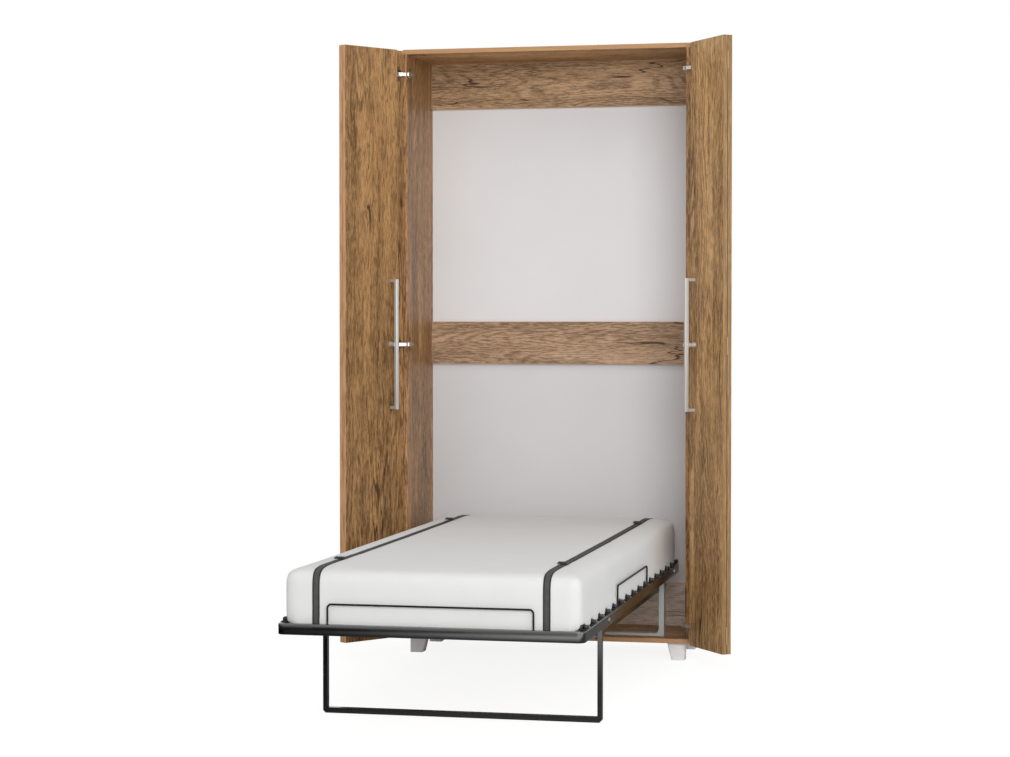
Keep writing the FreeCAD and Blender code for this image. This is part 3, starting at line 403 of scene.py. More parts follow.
def webbing():
    """Dark polypropylene webbing: ribs across, a herringbone along; the UV map is in metres."""
    material, shader = start_finish("strap_webbing_weave", srgb(72, 73, 71), 0.8, specular=0.25)
    place = add(material, "ShaderNodeUVMap", uv_map="weave").outputs[0]
    ribs = add(material, "ShaderNodeTexWave", {"Vector": place, "Scale": 150.0, "Distortion": 0.6},
               bands_direction="Y").outputs["Fac"]
    slanted = stretched(material, place, (1, 1, 1), rotation=(0, 0, math.radians(35)))
    twill = add(material, "ShaderNodeTexWave",
                {"Vector": slanted, "Scale": 130.0, "Distortion": 0.8},
                bands_direction="X").outputs["Fac"]
    weave = figure(material, "MULTIPLY", ribs, twill)
    mottle = noise(material, place, 60.0, 3.0)
    parts = add(material, "ShaderNodeSeparateXYZ", {0: place})
    # The webbing turns darker towards both of its edges.
    edge_darkening = spread(material, figure(material, "ABSOLUTE", parts.outputs[0]), 0.0050, 0.0085)
    cloth = mixed(material, weave, srgb(58, 59, 57), srgb(108, 109, 106))
    cloth = tinted(material, cloth, mottle, 0.35, 0.65, 0.5, srgb(62, 63, 61))
    cloth = mixed(material, figure(material, "MULTIPLY", edge_darkening, 0.85), cloth, srgb(30, 30, 29))
    feed(material, cloth, shader.inputs["Base Color"])
    roughen(material, shader, weave, 0.6, 0.0006)
    return material


def slat_wood():
    """Pale laminated birch, grain along the slat."""
    material, shader = start_finish("slat_birch", srgb(214, 184, 140), 0.55, specular=0.3)
    place = object_place(material)
    grain = noise(material, stretched(material, place, (0.04, 1, 1)), 160.0, 3.0, 0.6)
    broad = noise(material, stretched(material, place, (0.15, 1, 1)), 14.0, 2.0)
    wood = ramp(material, broad, (0.3, srgb(196, 164, 120)), (0.7, srgb(222, 194, 152)))
    wood = tinted(material, wood, grain, 0.5, 0.75, 0.5, srgb(168, 132, 90))
    feed(material, wood, shader.inputs["Base Color"])
    roughen(material, shader, grain, 0.25, 0.0004)
    return material


def finish_cabinet():
    """Oak boards and the white back; the boards are one laminate in a tone set board by board,
    which holds painted light and shade as well as the wood's colour.
    """
    # Painted light and shade in the tones: the side panels darker as painted shade, the middle and
    # upper rails paler and greyer as painted sheen, the lower rail almost cream as painted
    # reflected light. The banding factors, set board by board, carry light and shade in the edge
    # bands too.
    side_tone_with_painted_shade = (152, 113, 70)
    warm = (180, 137, 90)
    board_finish("side_panel_left", False, side_tone_with_painted_shade, 1, banding=0.88)
    board_finish("side_panel_right", False, side_tone_with_painted_shade, 2, banding=0.88)
    board_finish("top_panel", True, warm, 3, banding=0.92)
    board_finish("bottom_panel", True, warm, 4, banding=1.05)
    board_finish("lower_rail", True, (236, 212, 190), 5, calm=0.6)
    board_finish("middle_rail", True, (168, 137, 105), 6, calm=0.25)
    board_finish("upper_rail", True, (172, 139, 102), 7, calm=0.2)
    # The lower back sheet gets a darker white than the upper one as painted shade below the bed.
    paint("back_sheet_lower", back_board("white_board_lower_painted_shade", 209))
    paint("back_sheet_upper", back_board("white_board_upper", 222))


def finish_doors():
    """Oak leaves with their cup hinges and fold hinges: one laminate, darker on the left pair and
    lighter on the right pair as painted shade and light.
    """
    plated = hinge_plating()
    beige = mottled("fold_hinge_beige_enamel", (176, 140, 98), 0.45)
    # Each pair's tone and edge-band factor carry painted light and shade: the left pair darker,
    # with a pale edge band as a painted highlight; the right pair lighter, with a darker edge band
    # as painted shade.
    for side, turn, seed, leaf_tone_with_painted_light, edge in (("left", -DOOR_OPEN, 11, (142, 107, 66), 1.42),
                                         ("right", DOOR_OPEN, 17, (174, 136, 88), 0.76)):
        board_finish("hinged_leaf_" + side, False, leaf_tone_with_painted_light, seed, turn, HINGED_LEAF_WIDTH, edge)
        board_finish("folding_leaf_" + side, False, leaf_tone_with_painted_light, seed + 2, turn, FOLDING_LEAF_WIDTH, edge)
        paint_all(("hinge_cups_" + side, "hinge_arms_" + side), plated)
        paint_all(("fold_hinges_" + side, "fold_hinge_flaps_" + side), beige)


def hinge_plating():
    """Bright nickel on the hinge's arm and link; its flanges, above and below, are dark brown and
    less metallic.
    """
    material = mottled("hinge_two_tone_plating", (198, 197, 194), 0.24, 0.85)
    shader = material.node_tree.nodes["Principled BSDF"]
    height = add(material, "ShaderNodeSeparateXYZ", {0: object_place(material)}).outputs[2]
    near = 1.0
    for level in HINGE_HEIGHTS:
        away = figure(material, "ABSOLUTE", figure(material, "SUBTRACT", height, level))
        near = figure(material, "MINIMUM", near, away)
    flange = spread(material, near, HINGE_ARM_HALF - 0.0005, HINGE_ARM_HALF + 0.0005)
    bright = shader.inputs["Base Color"].links[0].from_socket
    feed(material, mixed(material, flange, bright, srgb(112, 82, 52)), shader.inputs["Base Color"])
    feed(material, figure(material, "SUBTRACT", 0.85, figure(material, "MULTIPLY", flange, 0.5)),
         shader.inputs["Metallic"])
    return material


def finish_metalwork():
    """Enamelled, plated and turned parts; returns the frame's black for the rails made later."""
    black = frame_enamel()
    paint_all(("head_bar", "cross_bar", "leg_upright_left", "leg_upright_right", "leg_foot_bar",
               "link_left", "link_right"), black)
    grey = mottled("support_grey_enamel", (184, 186, 183), 0.4, variation=0.05)
    paint_all(("support_base", "support_upright_left", "support_upright_right"), grey)
    zinc = mottled("fastener_zinc", (150, 150, 147), 0.38, 0.8)
    paint_all(("case_screws", "support_bolts", "link_bolts", "leg_pivot_bolts", "pivot_axles",
               "leg_link_bolts"), zinc)
    paint_all(("pivot_bushings",), mottled("nylon_natural", (226, 222, 208), 0.5))
    paint_all(("gas_cylinder_left", "gas_cylinder_right"),
              mottled("spring_barrel_black", (26, 26, 27), 0.3))
    paint_all(("gas_rod_left", "gas_rod_right"),
              mottled("spring_rod_chrome", (205, 205, 205), 0.12, 1.0))
    return black


def frame_enamel():
    """Deep black gloss: a hard clear enamel that mirrors the room."""
    material = mottled("frame_black_enamel", (9, 9, 9), 0.14, specular=1.0, variation=0.1,
                       grain=0.00002)
    material.node_tree.nodes["Principled BSDF"].inputs["IOR"].default_value = 1.65
    return material


def paint_all(nodes, finish):
    """Gives several CAD nodes the same finish."""
    for node in nodes:
        paint(node, finish)


# ---------------------------------------------------------------- modelling helpers
def adopt(name, body, slot, finish, *stands_for):
    """The object just made becomes a named piece that rides on a body."""
    piece = bpy.context.object
    piece.name = name
    piece.data.name = name
    piece.data.materials.clear()
    piece.data.materials.append(finish)
    bpy.ops.object.transform_apply(location=True, rotation=True, scale=True)
    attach(piece, body)
    if stands_for:
        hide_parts(*stands_for)
    bpy.ops.object.select_all(action="DESELECT")
    return piece


def apply_modifier(piece, kind, **settings):
    """Adds a modifier and applies it at once."""
    modifier = piece.modifiers.new(kind.lower(), kind)
    for key, value in settings.items():
        setattr(modifier, key, value)
    bpy.context.view_layer.objects.active = piece
    bpy.ops.object.modifier_apply(modifier=modifier.name)


def pick(piece):
    """Selects one piece alone and makes it the active one."""
    bpy.ops.object.select_all(action="DESELECT")
    piece.select_set(True)
    bpy.context.view_layer.objects.active = piece


def smooth(piece, degrees=40):
    """Smooth shading, with sharp edges where faces meet at more than an angle."""
    pick(piece)
    bpy.ops.object.shade_smooth_by_angle(angle=math.radians(degrees))


# ---------------------------------------------------------------- mattress
def mattress_blank():
    """Block of foam, a little small: rounded plan corners and a round top edge."""
    low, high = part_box("mattress")
    size = high - low
    centre = (low + high) / 2
    bpy.ops.mesh.primitive_cube_add(size=1, location=centre)
    piece = bpy.context.object
    piece.scale = [side - 2 * SHRINK for side in size]
    bpy.ops.object.transform_apply(location=True, rotation=False, scale=True)
    bottom = min(vertex.co.z for vertex in piece.data.vertices)
    for vertex in piece.data.vertices:
        if vertex.co.z < bottom + 0.001:
            vertex.co.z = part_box("foot_bar")[1].z
    bpy.ops.object.mode_set(mode="EDIT")
    bpy.ops.mesh.select_mode(type="EDGE")
    select_edges(piece, lambda a, b: abs(a.z - b.z) > 0.05 and a.y > centre.y)
    bpy.ops.mesh.bevel(offset=HEAD_CORNER, segments=10, affect="EDGES")
    select_edges(piece, lambda a, b: abs(a.z - b.z) > 0.05 and a.y < centre.y - 0.5
                 and abs(a.x - b.x) < 0.001 and abs(a.x - centre.x) > size.x / 2 - 0.01)
    bpy.ops.mesh.bevel(offset=FOOT_CORNER, segments=7, affect="EDGES")
    select_edges(piece, lambda a, b: min(a.z, b.z) > centre.z)
    bpy.ops.mesh.bevel(offset=TOP_ROUND, segments=7, affect="EDGES")
    select_edges(piece, lambda a, b: max(a.z, b.z) < low.z)
    bpy.ops.mesh.bevel(offset=HEM_ROUND, segments=2, affect="EDGES")
    bpy.ops.mesh.select_all(action="DESELECT")
    bpy.ops.object.mode_set(mode="OBJECT")
    return piece


def select_edges(piece, wanted):
    """In edit mode, selects the edges whose two ends pass a test and nothing else."""
    bpy.ops.mesh.select_all(action="DESELECT")
    bpy.ops.object.mode_set(mode="OBJECT")
    points = [vertex.co.copy() for vertex in piece.data.vertices]
    for edge in piece.data.edges:
        edge.select = wanted(points[edge.vertices[0]], points[edge.vertices[1]])
    bpy.ops.object.mode_set(mode="EDIT")


def select_points(piece, wanted):
    """In edit mode, selects the vertices that pass a test and nothing else."""
    bpy.ops.mesh.select_all(action="DESELECT")
    bpy.ops.object.mode_set(mode="OBJECT")
    for vertex in piece.data.vertices:
        vertex.select = wanted(vertex.co)
    bpy.ops.object.mode_set(mode="EDIT")


def swell(piece):
    """Cloth with air inside it rounds the foam out; no point may move further than the cap."""
    scene = bpy.context.scene
    start = [vertex.co.copy() for vertex in piece.data.vertices]
    cloth = piece.modifiers.new("swell", "CLOTH")
    cloth.settings.use_pressure = True
    cloth.settings.uniform_pressure_force = AIR_PRESSURE
    cloth.settings.quality = 4
    cloth.settings.mass = 0.3
    cloth.settings.tension_stiffness = 20
    cloth.settings.compression_stiffness = 20
    cloth.settings.effector_weights.gravity = 0
    cloth.collision_settings.use_collision = False
    for number in range(1, SWELL_FRAMES + 1):
        scene.frame_set(number)
    bpy.context.view_layer.objects.active = piece
    bpy.ops.object.modifier_apply(modifier="swell")
    scene.frame_set(1)
    for vertex, before in zip(piece.data.vertices, start):
        moved = vertex.co - before
        if moved.length > SWELL_CAP:
            vertex.co = before + moved.normalized() * SWELL_CAP


def make_mattress():
    """Knitted cover over foam: swollen, drawn in by the straps, hanging between the holders."""
    piece = mattress_blank()
    apply_modifier(piece, "REMESH", mode="VOXEL", voxel_size=VOXEL, use_smooth_shade=True)
    swell(piece)
    fill_box(piece)
    apply_modifier(piece, "SUBSURF", levels=1, render_levels=1)
    press_under_straps(piece)
    sag_between_holders(piece)
    soften_hem(piece)
    pick(piece)
    bpy.ops.object.shade_smooth()
    adopt("mattress_cover", "bed", "mattress_cover", mattress_fabric(), "mattress")
    return piece


def eased(value, low, high):
    """Smooth step from 0 at low to 1 at high."""
    part = min(1.0, max(0.0, (value - low) / (high - low)))
    return part * part * (3 - 2 * part)


def press_under_straps(piece):
    """The straps draw the top edge and the top down a little where they lie."""
    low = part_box("mattress")[0]
    for vertex in piece.data.vertices:
        aside = abs(abs(vertex.co.x) - STRAP_X)
        dip = STRAP_DIP * math.exp(-(aside / 0.022) ** 2)
        vertex.co.z -= dip * eased(vertex.co.z, low.z + 0.08, low.z + 0.13)


def fill_box(piece):
    """Stretches the piece a little so that its sides, ends and top lie where the mattress's do."""
    low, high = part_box("mattress")
    wall = [vertex.co for vertex in piece.data.vertices
            if low.z + 0.05 < vertex.co.z < high.z - 0.05]
    half_width = max(abs(point.x) for point in wall)
    first, last = min(point.y for point in wall), max(point.y for point in wall)
    top = max(vertex.co.z for vertex in piece.data.vertices)
    for vertex in piece.data.vertices:
        vertex.co.x *= high.x / half_width
        vertex.co.y = low.y + (vertex.co.y - first) * (high.y - low.y) / (last - first)
        vertex.co.z += (high.z - top) * eased(vertex.co.z, low.z, high.z)


def soften_hem(piece):
    """Evens out the cover's lower edge."""
    low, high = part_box("mattress")
    bpy.ops.object.mode_set(mode="EDIT")
    bpy.ops.mesh.select_mode(type="VERT")
    select_points(piece, lambda point: point.y < low.y + 0.05 and point.z < low.z + 0.02)
    bpy.ops.mesh.vertices_smooth(factor=0.5, repeat=3)
    select_points(piece, lambda point: abs(point.x) > high.x - 0.02 and point.z < low.z + 0.015)
    bpy.ops.mesh.vertices_smooth(factor=0.4, repeat=1)
    bpy.ops.object.mode_set(mode="OBJECT")


def sag_between_holders(piece):
    """The cover hangs to the frame between the holders, and into it before the first slat."""
    low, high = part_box("mattress")
    slats_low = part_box("slats")[0]
    rail_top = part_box("foot_bar")[1].z
    for vertex in piece.data.vertices:
        point = vertex.co
        square = 1 - eased(point.z, low.z + 0.002, low.z + 0.035)
        if square and point.y < high.y - 0.09:
            aside = abs(point.x)
            if aside > high.x - 0.022 and point.y > low.y + 0.030:
                aside += square * (high.x + 0.0003 - aside)
                point.x = math.copysign(aside, point.x)
            elif point.y < low.y + 0.022 and aside < high.x - 0.030:
                point.y += square * (low.y - 0.0003 - point.y)
        near_side = eased(abs(point.x), high.x - 0.012, high.x - 0.004)
        step = (point.y - slats_low.y - SLAT_WIDTH / 2) / SLAT_PITCH
        aside = abs(step - round(step)) * SLAT_PITCH
        between = eased(aside, 0.014, 0.022) if point.y < high.y - 0.09 else 0.0
        in_front = eased(slats_low.y - 0.001 - point.y, 0.0, 0.004)
        inside_frame = 0.0085 * in_front * (1 - eased(abs(point.x), high.x - 0.022, high.x - 0.010))
        hang = max(near_side * between, in_front)
        bottom = low.z + 0.0003 - (low.z - rail_top - 0.0012) * hang - inside_frame
        if point.z < low.z - 0.006:
            point.z = bottom
        point.z = max(point.z, bottom)


# ---------------------------------------------------------------- steel frame and wires
def open_ring(piece):
    """Only the outline of the flat shape just made is left, selected and ready to be drawn out."""
    bpy.ops.object.mode_set(mode="EDIT")
    bpy.ops.mesh.select_mode(type="EDGE")
    bpy.ops.mesh.select_all(action="SELECT")
    if piece.data.polygons:
        bpy.ops.mesh.delete(type="ONLY_FACE")
        bpy.ops.mesh.select_all(action="SELECT")


def quarter_turn(centre, axis, steps=8):
    """Draws the selected outline round a right-angled bend."""
    bpy.ops.mesh.spin(steps=steps, angle=math.radians(90), center=centre, axis=axis)


def close_ends():
    """Merges the joints, fills the two open ends and turns the faces outwards."""
    bpy.ops.mesh.select_all(action="SELECT")
    bpy.ops.mesh.remove_doubles(threshold=0.00005)
    bpy.ops.mesh.fill_holes(sides=0)
    bpy.ops.mesh.select_all(action="SELECT")
    bpy.ops.mesh.normals_make_consistent(inside=False)
    bpy.ops.mesh.select_all(action="DESELECT")
    bpy.ops.object.mode_set(mode="OBJECT")


def tube_outline(centre, across_y):
    """Outline of the rectangular tube with its rolled corners, square to X or to Y."""
    turn = (math.pi / 2, 0, math.pi / 2) if across_y else (math.pi / 2, 0, 0)
    bpy.ops.mesh.primitive_plane_add(size=1, location=centre, rotation=turn)
    piece = bpy.context.object
    piece.scale = (TUBE_WIDTH, TUBE_HEIGHT, 1)
    bpy.ops.object.transform_apply(location=True, rotation=True, scale=True)
    bpy.ops.object.mode_set(mode="EDIT")
    bpy.ops.mesh.select_all(action="SELECT")
    bpy.ops.mesh.bevel(offset=TUBE_CORNER, segments=4, affect="VERTICES")
    bpy.ops.object.mode_set(mode="OBJECT")
    open_ring(piece)
    return piece


def make_side_rail(side, finish):
    """Rectangular tube along the bed, bent round at its foot end."""
    low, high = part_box("side_rail_" + side)
    sign = -1 if side == "left" else 1
    outer = high.x if sign > 0 else low.x
    middle_z = (low.z + high.z) / 2
    bend_y = low.y + FRAME_BEND
    start = Vector((outer - sign * TUBE_WIDTH / 2, high.y, middle_z))
    piece = tube_outline(start, False)
    rise(Vector((0, bend_y - high.y, 0)), 1)
    quarter_turn((outer - sign * FRAME_BEND, bend_y, 0), (0, 0, sign), 10)
    close_ends()
    smooth(piece)
    adopt("bed_rail_" + side, "bed", "frame_steel", finish, "side_rail_" + side)


def make_foot_rail(finish):
    """Straight tube across the foot end."""
    low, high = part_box("foot_bar")
    start = Vector((low.x, (low.y + high.y) / 2, (low.z + high.z) / 2))
    piece = tube_outline(start, True)
    rise(Vector((high.x - low.x, 0, 0)), 1)
    close_ends()
    smooth(piece)
    adopt("foot_rail", "bed", "frame_steel", finish, "foot_bar")


def make_hoop(name, node, along_x, finish):
    """Round wire hoop that stands on the frame and keeps the mattress in place."""
    low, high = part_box(node)
    if along_x:
        first = Vector((low.x + WIRE_RADIUS, (low.y + high.y) / 2, low.z))
        along = Vector((1, 0, 0))
        axis = (0, -1, 0)
        length = high.x - low.x - 2 * WIRE_RADIUS
    else:
        first = Vector(((low.x + high.x) / 2, low.y + WIRE_RADIUS, low.z))
        along = Vector((0, 1, 0))
        axis = (1, 0, 0)
        length = high.y - low.y - 2 * WIRE_RADIUS
    bpy.ops.mesh.primitive_circle_add(vertices=12, radius=WIRE_RADIUS, location=first)
    piece = bpy.context.object
    bpy.ops.object.transform_apply(location=True, rotation=True, scale=True)
    open_ring(piece)
    up = high.z - WIRE_RADIUS - HOOP_BEND - low.z
    rise(Vector((0, 0, up)), 1)
    elbow = first + Vector((0, 0, up)) + along * HOOP_BEND
    quarter_turn(elbow, axis)
    rise(along * (length - 2 * HOOP_BEND), 1)
    quarter_turn(elbow + along * (length - 2 * HOOP_BEND), axis)
    rise(Vector((0, 0, -up)), 1)
    close_ends()
    smooth(piece, 60)
    adopt(name, "bed", "frame_steel", finish, node)


def make_holders(finish):
    """Moulded slat caps: a foot on the rail and a rounded lump that holds the slat's end."""
    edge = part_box("slat_holders")[1].x
    rail_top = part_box("foot_bar")[1].z
    length, height = HOLDER_FOOT
    parts = []
    for y in slat_middles():
        for sign in (-1, 1):
            foot = (sign * (edge - TUBE_WIDTH / 2), y, rail_top + height / 2)
            parts.append(rounded_block(foot, (TUBE_WIDTH, length, height), 0.0008))
            outer = (sign * (edge - OUTER_LUMP_INSET), y, rail_top + 0.0065)
            parts.append(rounded_block(outer, OUTER_LUMP, 0.0035))
            inner = (sign * (edge - INNER_LUMP_INSET), y, rail_top + 0.0076)
            parts.append(rounded_block(inner, INNER_LUMP, 0.0015))
    joined(parts)
    adopt("slat_caps", "bed", "black_plastic", finish, "slat_holders")


def slat_middles():
    """Y of the middle of each slat, from the foot end."""
    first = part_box("slats")[0].y + SLAT_WIDTH / 2
    return [first + SLAT_PITCH * number for number in range(SLAT_COUNT)]


def rounded_block(centre, size, rounding):
    """Block with rounded edges."""
    bpy.ops.mesh.primitive_cube_add(size=1, location=centre)
    piece = bpy.context.object
    piece.scale = size
    bpy.ops.object.transform_apply(location=True, rotation=False, scale=True)
    apply_modifier(piece, "BEVEL", width=rounding, segments=3)
    bpy.ops.object.select_all(action="DESELECT")
    return piece


def make_end_caps(finish):
    """Plastic plugs in the open rear ends of the rails, domed a little."""
    low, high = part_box("rail_end_caps")
    parts = []
    for sign in (-1, 1):
        centre = (sign * (high.x - TUBE_WIDTH / 2), (low.y + high.y) / 2, (low.z + high.z) / 2)
        size = (TUBE_WIDTH, high.y - low.y, TUBE_HEIGHT)
        parts.append(rounded_block(centre, size, PLUG_ROUNDING))
    joined(parts)
    adopt("rail_plugs", "bed", "black_plastic", finish, "rail_end_caps")


# ---------------------------------------------------------------- handles, feet
def make_handle(side, finish):
    """The door's bar handle with its edges rounded over."""
    node = "handle_" + side
    piece = node_copy(node)
    bpy.ops.object.mode_set(mode="EDIT")
    bpy.ops.mesh.select_all(action="SELECT")
    bpy.ops.transform.shrink_fatten(value=HANDLE_GROWTH)
    bpy.ops.object.mode_set(mode="OBJECT")
    apply_modifier(piece, "BEVEL", width=HANDLE_ROUNDING, segments=2, limit_method="ANGLE",
                   angle_limit=math.radians(40))
    smooth(piece)
    adopt("door_handle_" + side, "door_fold_" + side, "handle_metal", finish, node)


def make_feet(finish):
    """Tapered plastic feet, their edges and upright corners rounded."""
    for node in ("front_foot_left", "front_foot_right", "rear_foot_left", "rear_foot_right"):
        piece = node_copy(node)
        apply_modifier(piece, "BEVEL", width=FOOT_ROUNDING, segments=3, limit_method="ANGLE",
                       angle_limit=math.radians(30))
        smooth(piece)
        adopt("tapered_" + node, "cabinet", "foot_plastic", finish, node)


def node_copy(node):
    """Copy of a CAD node's mesh as a new piece, with its triangles merged into flat faces."""
    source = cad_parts[node]
    piece = bpy.data.objects.new(node + "_copy", source.data.copy())
    bpy.context.collection.objects.link(piece)
    pick(piece)
    bpy.ops.object.mode_set(mode="EDIT")
    bpy.ops.mesh.select_all(action="SELECT")
    bpy.ops.mesh.remove_doubles(threshold=0.00002)
    bpy.ops.mesh.dissolve_limited(angle_limit=math.radians(1))
    bpy.ops.object.mode_set(mode="OBJECT")
    return piece


def joined(parts):
    """One piece made of several blocks."""
    bpy.ops.object.select_all(action="DESELECT")
    for part in parts:
        part.select_set(True)
    bpy.context.view_layer.objects.active = parts[0]
    bpy.ops.object.join()
    smooth(bpy.context.object)


def make_edging(side):
    """Rounded edging strip along the front of a side panel."""
    low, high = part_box("side_panel_" + side)
    centre = ((low.x + high.x) / 2, low.y - 0.0003, (low.z + high.z) / 2)
    size = (high.x - low.x + 0.002, EDGING_DEPTH, high.z - low.z)
    smooth(rounded_block(centre, size, 0.0004))
    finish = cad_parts["side_panel_" + side].material_slots[0].material
    adopt("front_edging_" + side, "cabinet", "oak_board", finish)


def make_slats(finish):
    """Sprung slats with rounded edges; their ends sit in the holders."""
    low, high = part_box("slats")
    size = (2 * (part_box("slat_holders")[1].x - SLAT_END_GAP), SLAT_WIDTH, high.z - low.z)
    middle_z = (low.z + high.z) / 2
    joined([rounded_block((0, y, middle_z), size, SLAT_ROUNDING) for y in slat_middles()])
    adopt("sprung_slats", "bed", "slat_wood", finish, "slats")


# ---------------------------------------------------------------- straps
def strap_line(x):
    """Edge across the webbing, drawn over the mattress from the foot bar to behind its head."""
    low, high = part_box("mattress")
    foot_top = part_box("foot_bar")[1].z - 0.006
    bpy.ops.mesh.primitive_plane_add(size=1, location=(x, low.y, foot_top))
    strap = bpy.context.object
    strap.scale = (STRAP_WIDTH, 0.004, 1)
    bpy.ops.object.transform_apply(location=True, rotation=False, scale=True)
    bpy.ops.object.mode_set(mode="EDIT")
    bpy.ops.mesh.select_mode(type="VERT")
    select_points(strap, lambda point: point.y > low.y)
    bpy.ops.mesh.delete(type="VERT")
    bpy.ops.mesh.select_mode(type="EDGE")
    bpy.ops.mesh.select_all(action="SELECT")
    bpy.ops.transform.translate(value=(0, 0.002, 0))
    bend_z = high.z - STRAP_BEND
    rise(Vector((0, 0, bend_z - foot_top)), 12)
    quarter_turn((x, low.y + STRAP_BEND, bend_z), (1, 0, 0), 12)
    rise(Vector((0, high.y - low.y - 2 * STRAP_BEND, 0)), 90)
    quarter_turn((x, high.y - STRAP_BEND, bend_z), (1, 0, 0), 12)
    rise(Vector((0, 0, low.z - high.z + STRAP_BEND)), 10)
    bpy.ops.mesh.select_all(action="SELECT")
    bpy.ops.mesh.remove_doubles(threshold=0.0001)
    bpy.ops.object.mode_set(mode="OBJECT")
    top = max(strap.data.polygons, key=lambda face: face.center.z)
    if top.normal.z < 0:
        strap.data.flip_normals()
    map_weave(strap, x)
    return strap


def rise(move, steps):
    """Extrudes the selected edge in even steps."""
    for _ in range(steps):
        bpy.ops.mesh.extrude_edges_move(TRANSFORM_OT_translate={"value": move / steps})


def map_weave(strap, x):
    """UV map in metres: across the webbing, and along it from the floor's level at its foot end."""
    low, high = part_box("mattress")
    layer = strap.data.uv_layers.new(name="weave")
    first = high.z - STRAP_BEND
    quarter = STRAP_BEND * math.pi / 2
    flat = high.y - low.y - 2 * STRAP_BEND
    for loop in strap.data.loops:
        point = strap.data.vertices[loop.vertex_index].co
        if point.z <= first:
            run = point.z if point.y < 0 else 2 * first + 2 * quarter + flat - point.z
        elif point.y < low.y + STRAP_BEND:
            run = first + STRAP_BEND * math.atan2(point.z - first, low.y + STRAP_BEND - point.y)
        elif point.y > high.y - STRAP_BEND:
            past = math.atan2(point.y - high.y + STRAP_BEND, point.z - first)
            run = first + quarter + flat + STRAP_BEND * past
        else:
            run = first + quarter + point.y - low.y - STRAP_BEND
        layer.data[loop.index].uv = (point.x - x, run)


def make_straps(mattress):
    """Two lengths of webbing laid close on the mattress."""
    finish = webbing()
    for side, x in (("left", -STRAP_X), ("right", STRAP_X)):
        strap = strap_line(x)
        apply_modifier(strap, "SHRINKWRAP", target=mattress, wrap_method="NEAREST_SURFACEPOINT",
                       wrap_mode="OUTSIDE_SURFACE", offset=STRAP_CLEARANCE)
        apply_modifier(strap, "SOLIDIFY", thickness=STRAP_THICKNESS, offset=1.0)
        smooth(strap)
        adopt("strap_" + side, "bed", "strap_webbing", finish)
    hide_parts("straps")


def make_sliders(finish):
    """Moulded buckles, one near each end of a strap: two slots and a raised middle bar."""
    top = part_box("strap_sliders")[1].z
    parts = []
    for x in (-STRAP_X, STRAP_X):
        for y in SLIDER_YS:
            for shift in (-BAR_SHIFT, 0.0, BAR_SHIFT):
                height = OUTER_BAR_HEIGHT if shift else MIDDLE_BAR_HEIGHT
                centre = (x, y + shift, top - 0.0032 + height / 2)
                parts.append(rounded_block(centre, (BAR_LENGTH, 0.0055, height), 0.0016))
            for edge in (-0.0135, 0.0135):
                parts.append(rounded_block((x + edge, y, top - 0.0010), BUCKLE_SIDE, 0.0014))
    joined(parts)
    adopt("strap_buckles", "bed", "black_plastic", finish, "strap_sliders")


# ---------------------------------------------------------------- camera, light and floor
def make_camera():
    """The photograph's viewpoint."""
    bpy.ops.object.camera_add(location=CAMERA_PLACE, rotation=(CAMERA_TILT, 0, CAMERA_PAN))
    camera = bpy.context.object
    camera.data.lens = LENS
    camera.data.sensor_width = 36
    bpy.context.scene.camera = camera


def area_light(name, place, target, size, power):
    """Softbox that points at a target; the camera doesn't see it."""
    bpy.ops.object.light_add(type="AREA", location=place)
    lamp = bpy.context.object
    lamp.name = name
    lamp.data.shape = "RECTANGLE"
    lamp.data.size, lamp.data.size_y = size
    lamp.data.energy = power
    lamp.rotation_euler = (Vector(target) - Vector(place)).to_track_quat("-Z", "Y").to_euler()
    lamp.visible_camera = False


def make_world():
    """White seen directly and in reflections, and a soft even sky for the rest."""
    world = bpy.data.worlds.new("studio")
    bpy.context.scene.world = world
    world.use_nodes = True
    sky = world.node_tree.nodes["Background"]
    sky.inputs["Color"].default_value = WHITE
    sky.inputs["Strength"].default_value = SKY_LIGHT
    white = add(world, "ShaderNodeBackground", {"Color": WHITE, "Strength": 1.0})
    path = add(world, "ShaderNodeLightPath").outputs
    clear = figure(world, "MAXIMUM", path["Is Camera Ray"], path["Is Glossy Ray"])
    clear = figure(world, "MAXIMUM", clear, path["Is Transmission Ray"])
    mix = add(world, "ShaderNodeMixShader", {0: clear, 1: sky.outputs[0], 2: white.outputs[0]})
    feed(world, mix.outputs[0], world.node_tree.nodes["World Output"].inputs["Surface"])


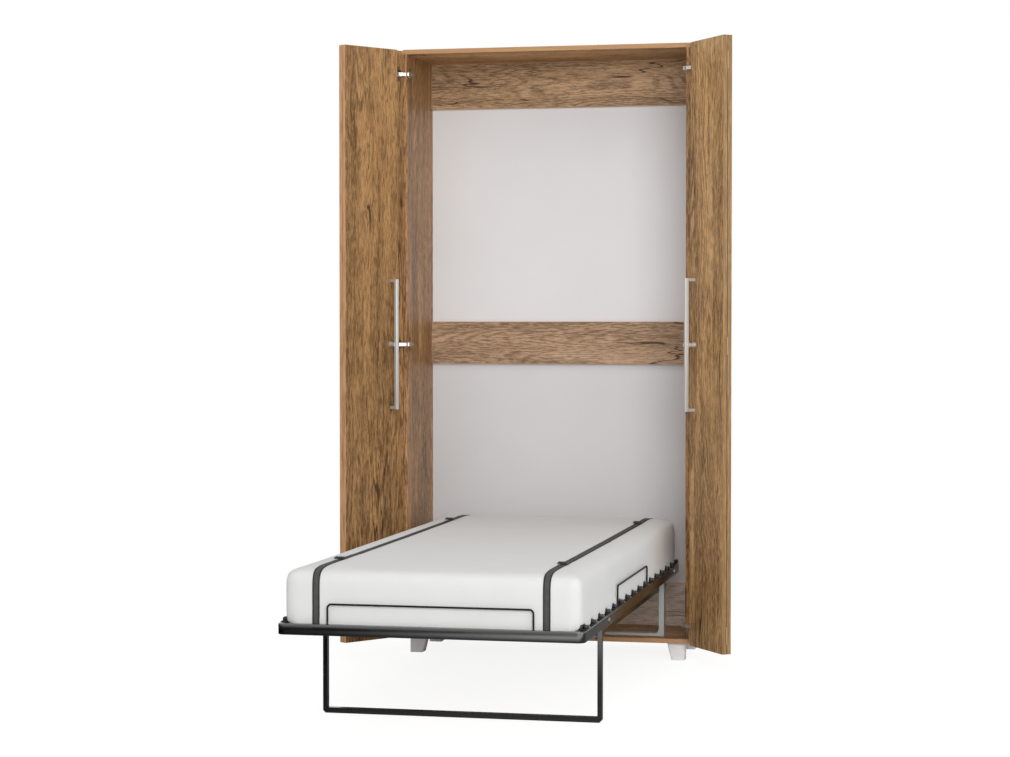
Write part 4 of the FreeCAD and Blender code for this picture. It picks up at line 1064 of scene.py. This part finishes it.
def make_floor():
    """Pale floor that shows white where it is lit and keeps a faint shadow; in reflections only, it
    glows in a pool of painted light that fades to the left and towards the cabinet.
    """
    bpy.ops.mesh.primitive_plane_add(size=FLOOR_SIZE, location=(0, 0, FLOOR_LEVEL))
    floor = bpy.context.object
    floor.name = "studio_floor"
    material, shader = start_finish("floor_white", (0.85, 0.85, 0.85, 1), 0.9, specular=0.1)
    path = add(material, "ShaderNodeLightPath")
    place = add(material, "ShaderNodeSeparateXYZ", {0: object_place(material)}).outputs
    # Painted light: a glow that only reflections see, brighter to the right and further out in
    # front, so that the black rails reflect more light on their right.
    sideways = figure(material, "POWER",
                      spread(material, place[0], POOL_EDGE, POOL_FULL, 0.02, 1.0), POOL_FALLOFF)
    inwards = spread(material, place[1], POOL_NEAR, POOL_FAR, 0.10, 1.0)
    pool = figure(material, "MULTIPLY", sideways, inwards)
    painted_pool_glow = add(material, "ShaderNodeEmission",
                   {"Color": WHITE, "Strength": figure(material, "MULTIPLY", pool, POOL_LIGHT)})
    glow = add(material, "ShaderNodeEmission", {"Color": WHITE, "Strength": 1.0})
    seen = path.outputs["Is Camera Ray"]
    share = figure(material, "MULTIPLY", seen, FLOOR_GLOW)
    shown = add(material, "ShaderNodeMixShader",
                {0: share, 1: shader.outputs[0], 2: glow.outputs[0]})
    lift = add(material, "ShaderNodeEmission",
               {"Color": WHITE, "Strength": figure(material, "MULTIPLY", seen, FLOOR_LIFT)})
    lit = add(material, "ShaderNodeAddShader", {0: shown.outputs[0], 1: lift.outputs[0]})
    whole = add(material, "ShaderNodeMixShader",
                {0: path.outputs["Is Glossy Ray"], 1: lit.outputs[0], 2: painted_pool_glow.outputs[0]})
    output = material.node_tree.nodes["Material Output"]
    feed(material, whole.outputs[0], output.inputs["Surface"])
    floor.data.materials.append(material)


def make_studio():
    """Standard colours, white surroundings and three softboxes."""
    bpy.context.scene.view_settings.view_transform = "Standard"
    make_world()
    make_floor()
    area_light("front_softbox", (2.7, -6.7, 2.9), (0, 0.3, 1.1), (4.5, 3.2), 285)
    area_light("side_softbox", (5.5, -3.2, 1.6), (0.0, 0.0, 0.6), (2.5, 2.5), 45)
    area_light("top_softbox", (0.0, -2.4, 5.2), (0, -0.2, 0.8), (4.0, 3.0), 50)


make_camera()
make_studio()
finish_cabinet()
finish_doors()
black = finish_metalwork()
moulding = mottled("black_moulding", (18, 18, 18), 0.4, variation=0.15)
wire = mottled("wire_black_coat", (11, 11, 11), 0.45, specular=0.25, variation=0.1)
satin = brushed("handle_satin_nickel", (206, 205, 201), 0.42)
for side in ("left", "right"):
    make_side_rail(side, black)
    make_hoop("side_hoop_" + side, "side_wire_" + side, False, wire)
    make_handle(side, satin)
    make_edging(side)
make_foot_rail(black)
make_slats(slat_wood())
make_hoop("foot_hoop", "foot_wire", True, wire)
make_holders(moulding)
make_end_caps(moulding)
make_feet(mottled("foot_plastic_light", (232, 232, 232), 0.45))
make_straps(make_mattress())
make_sliders(moulding)
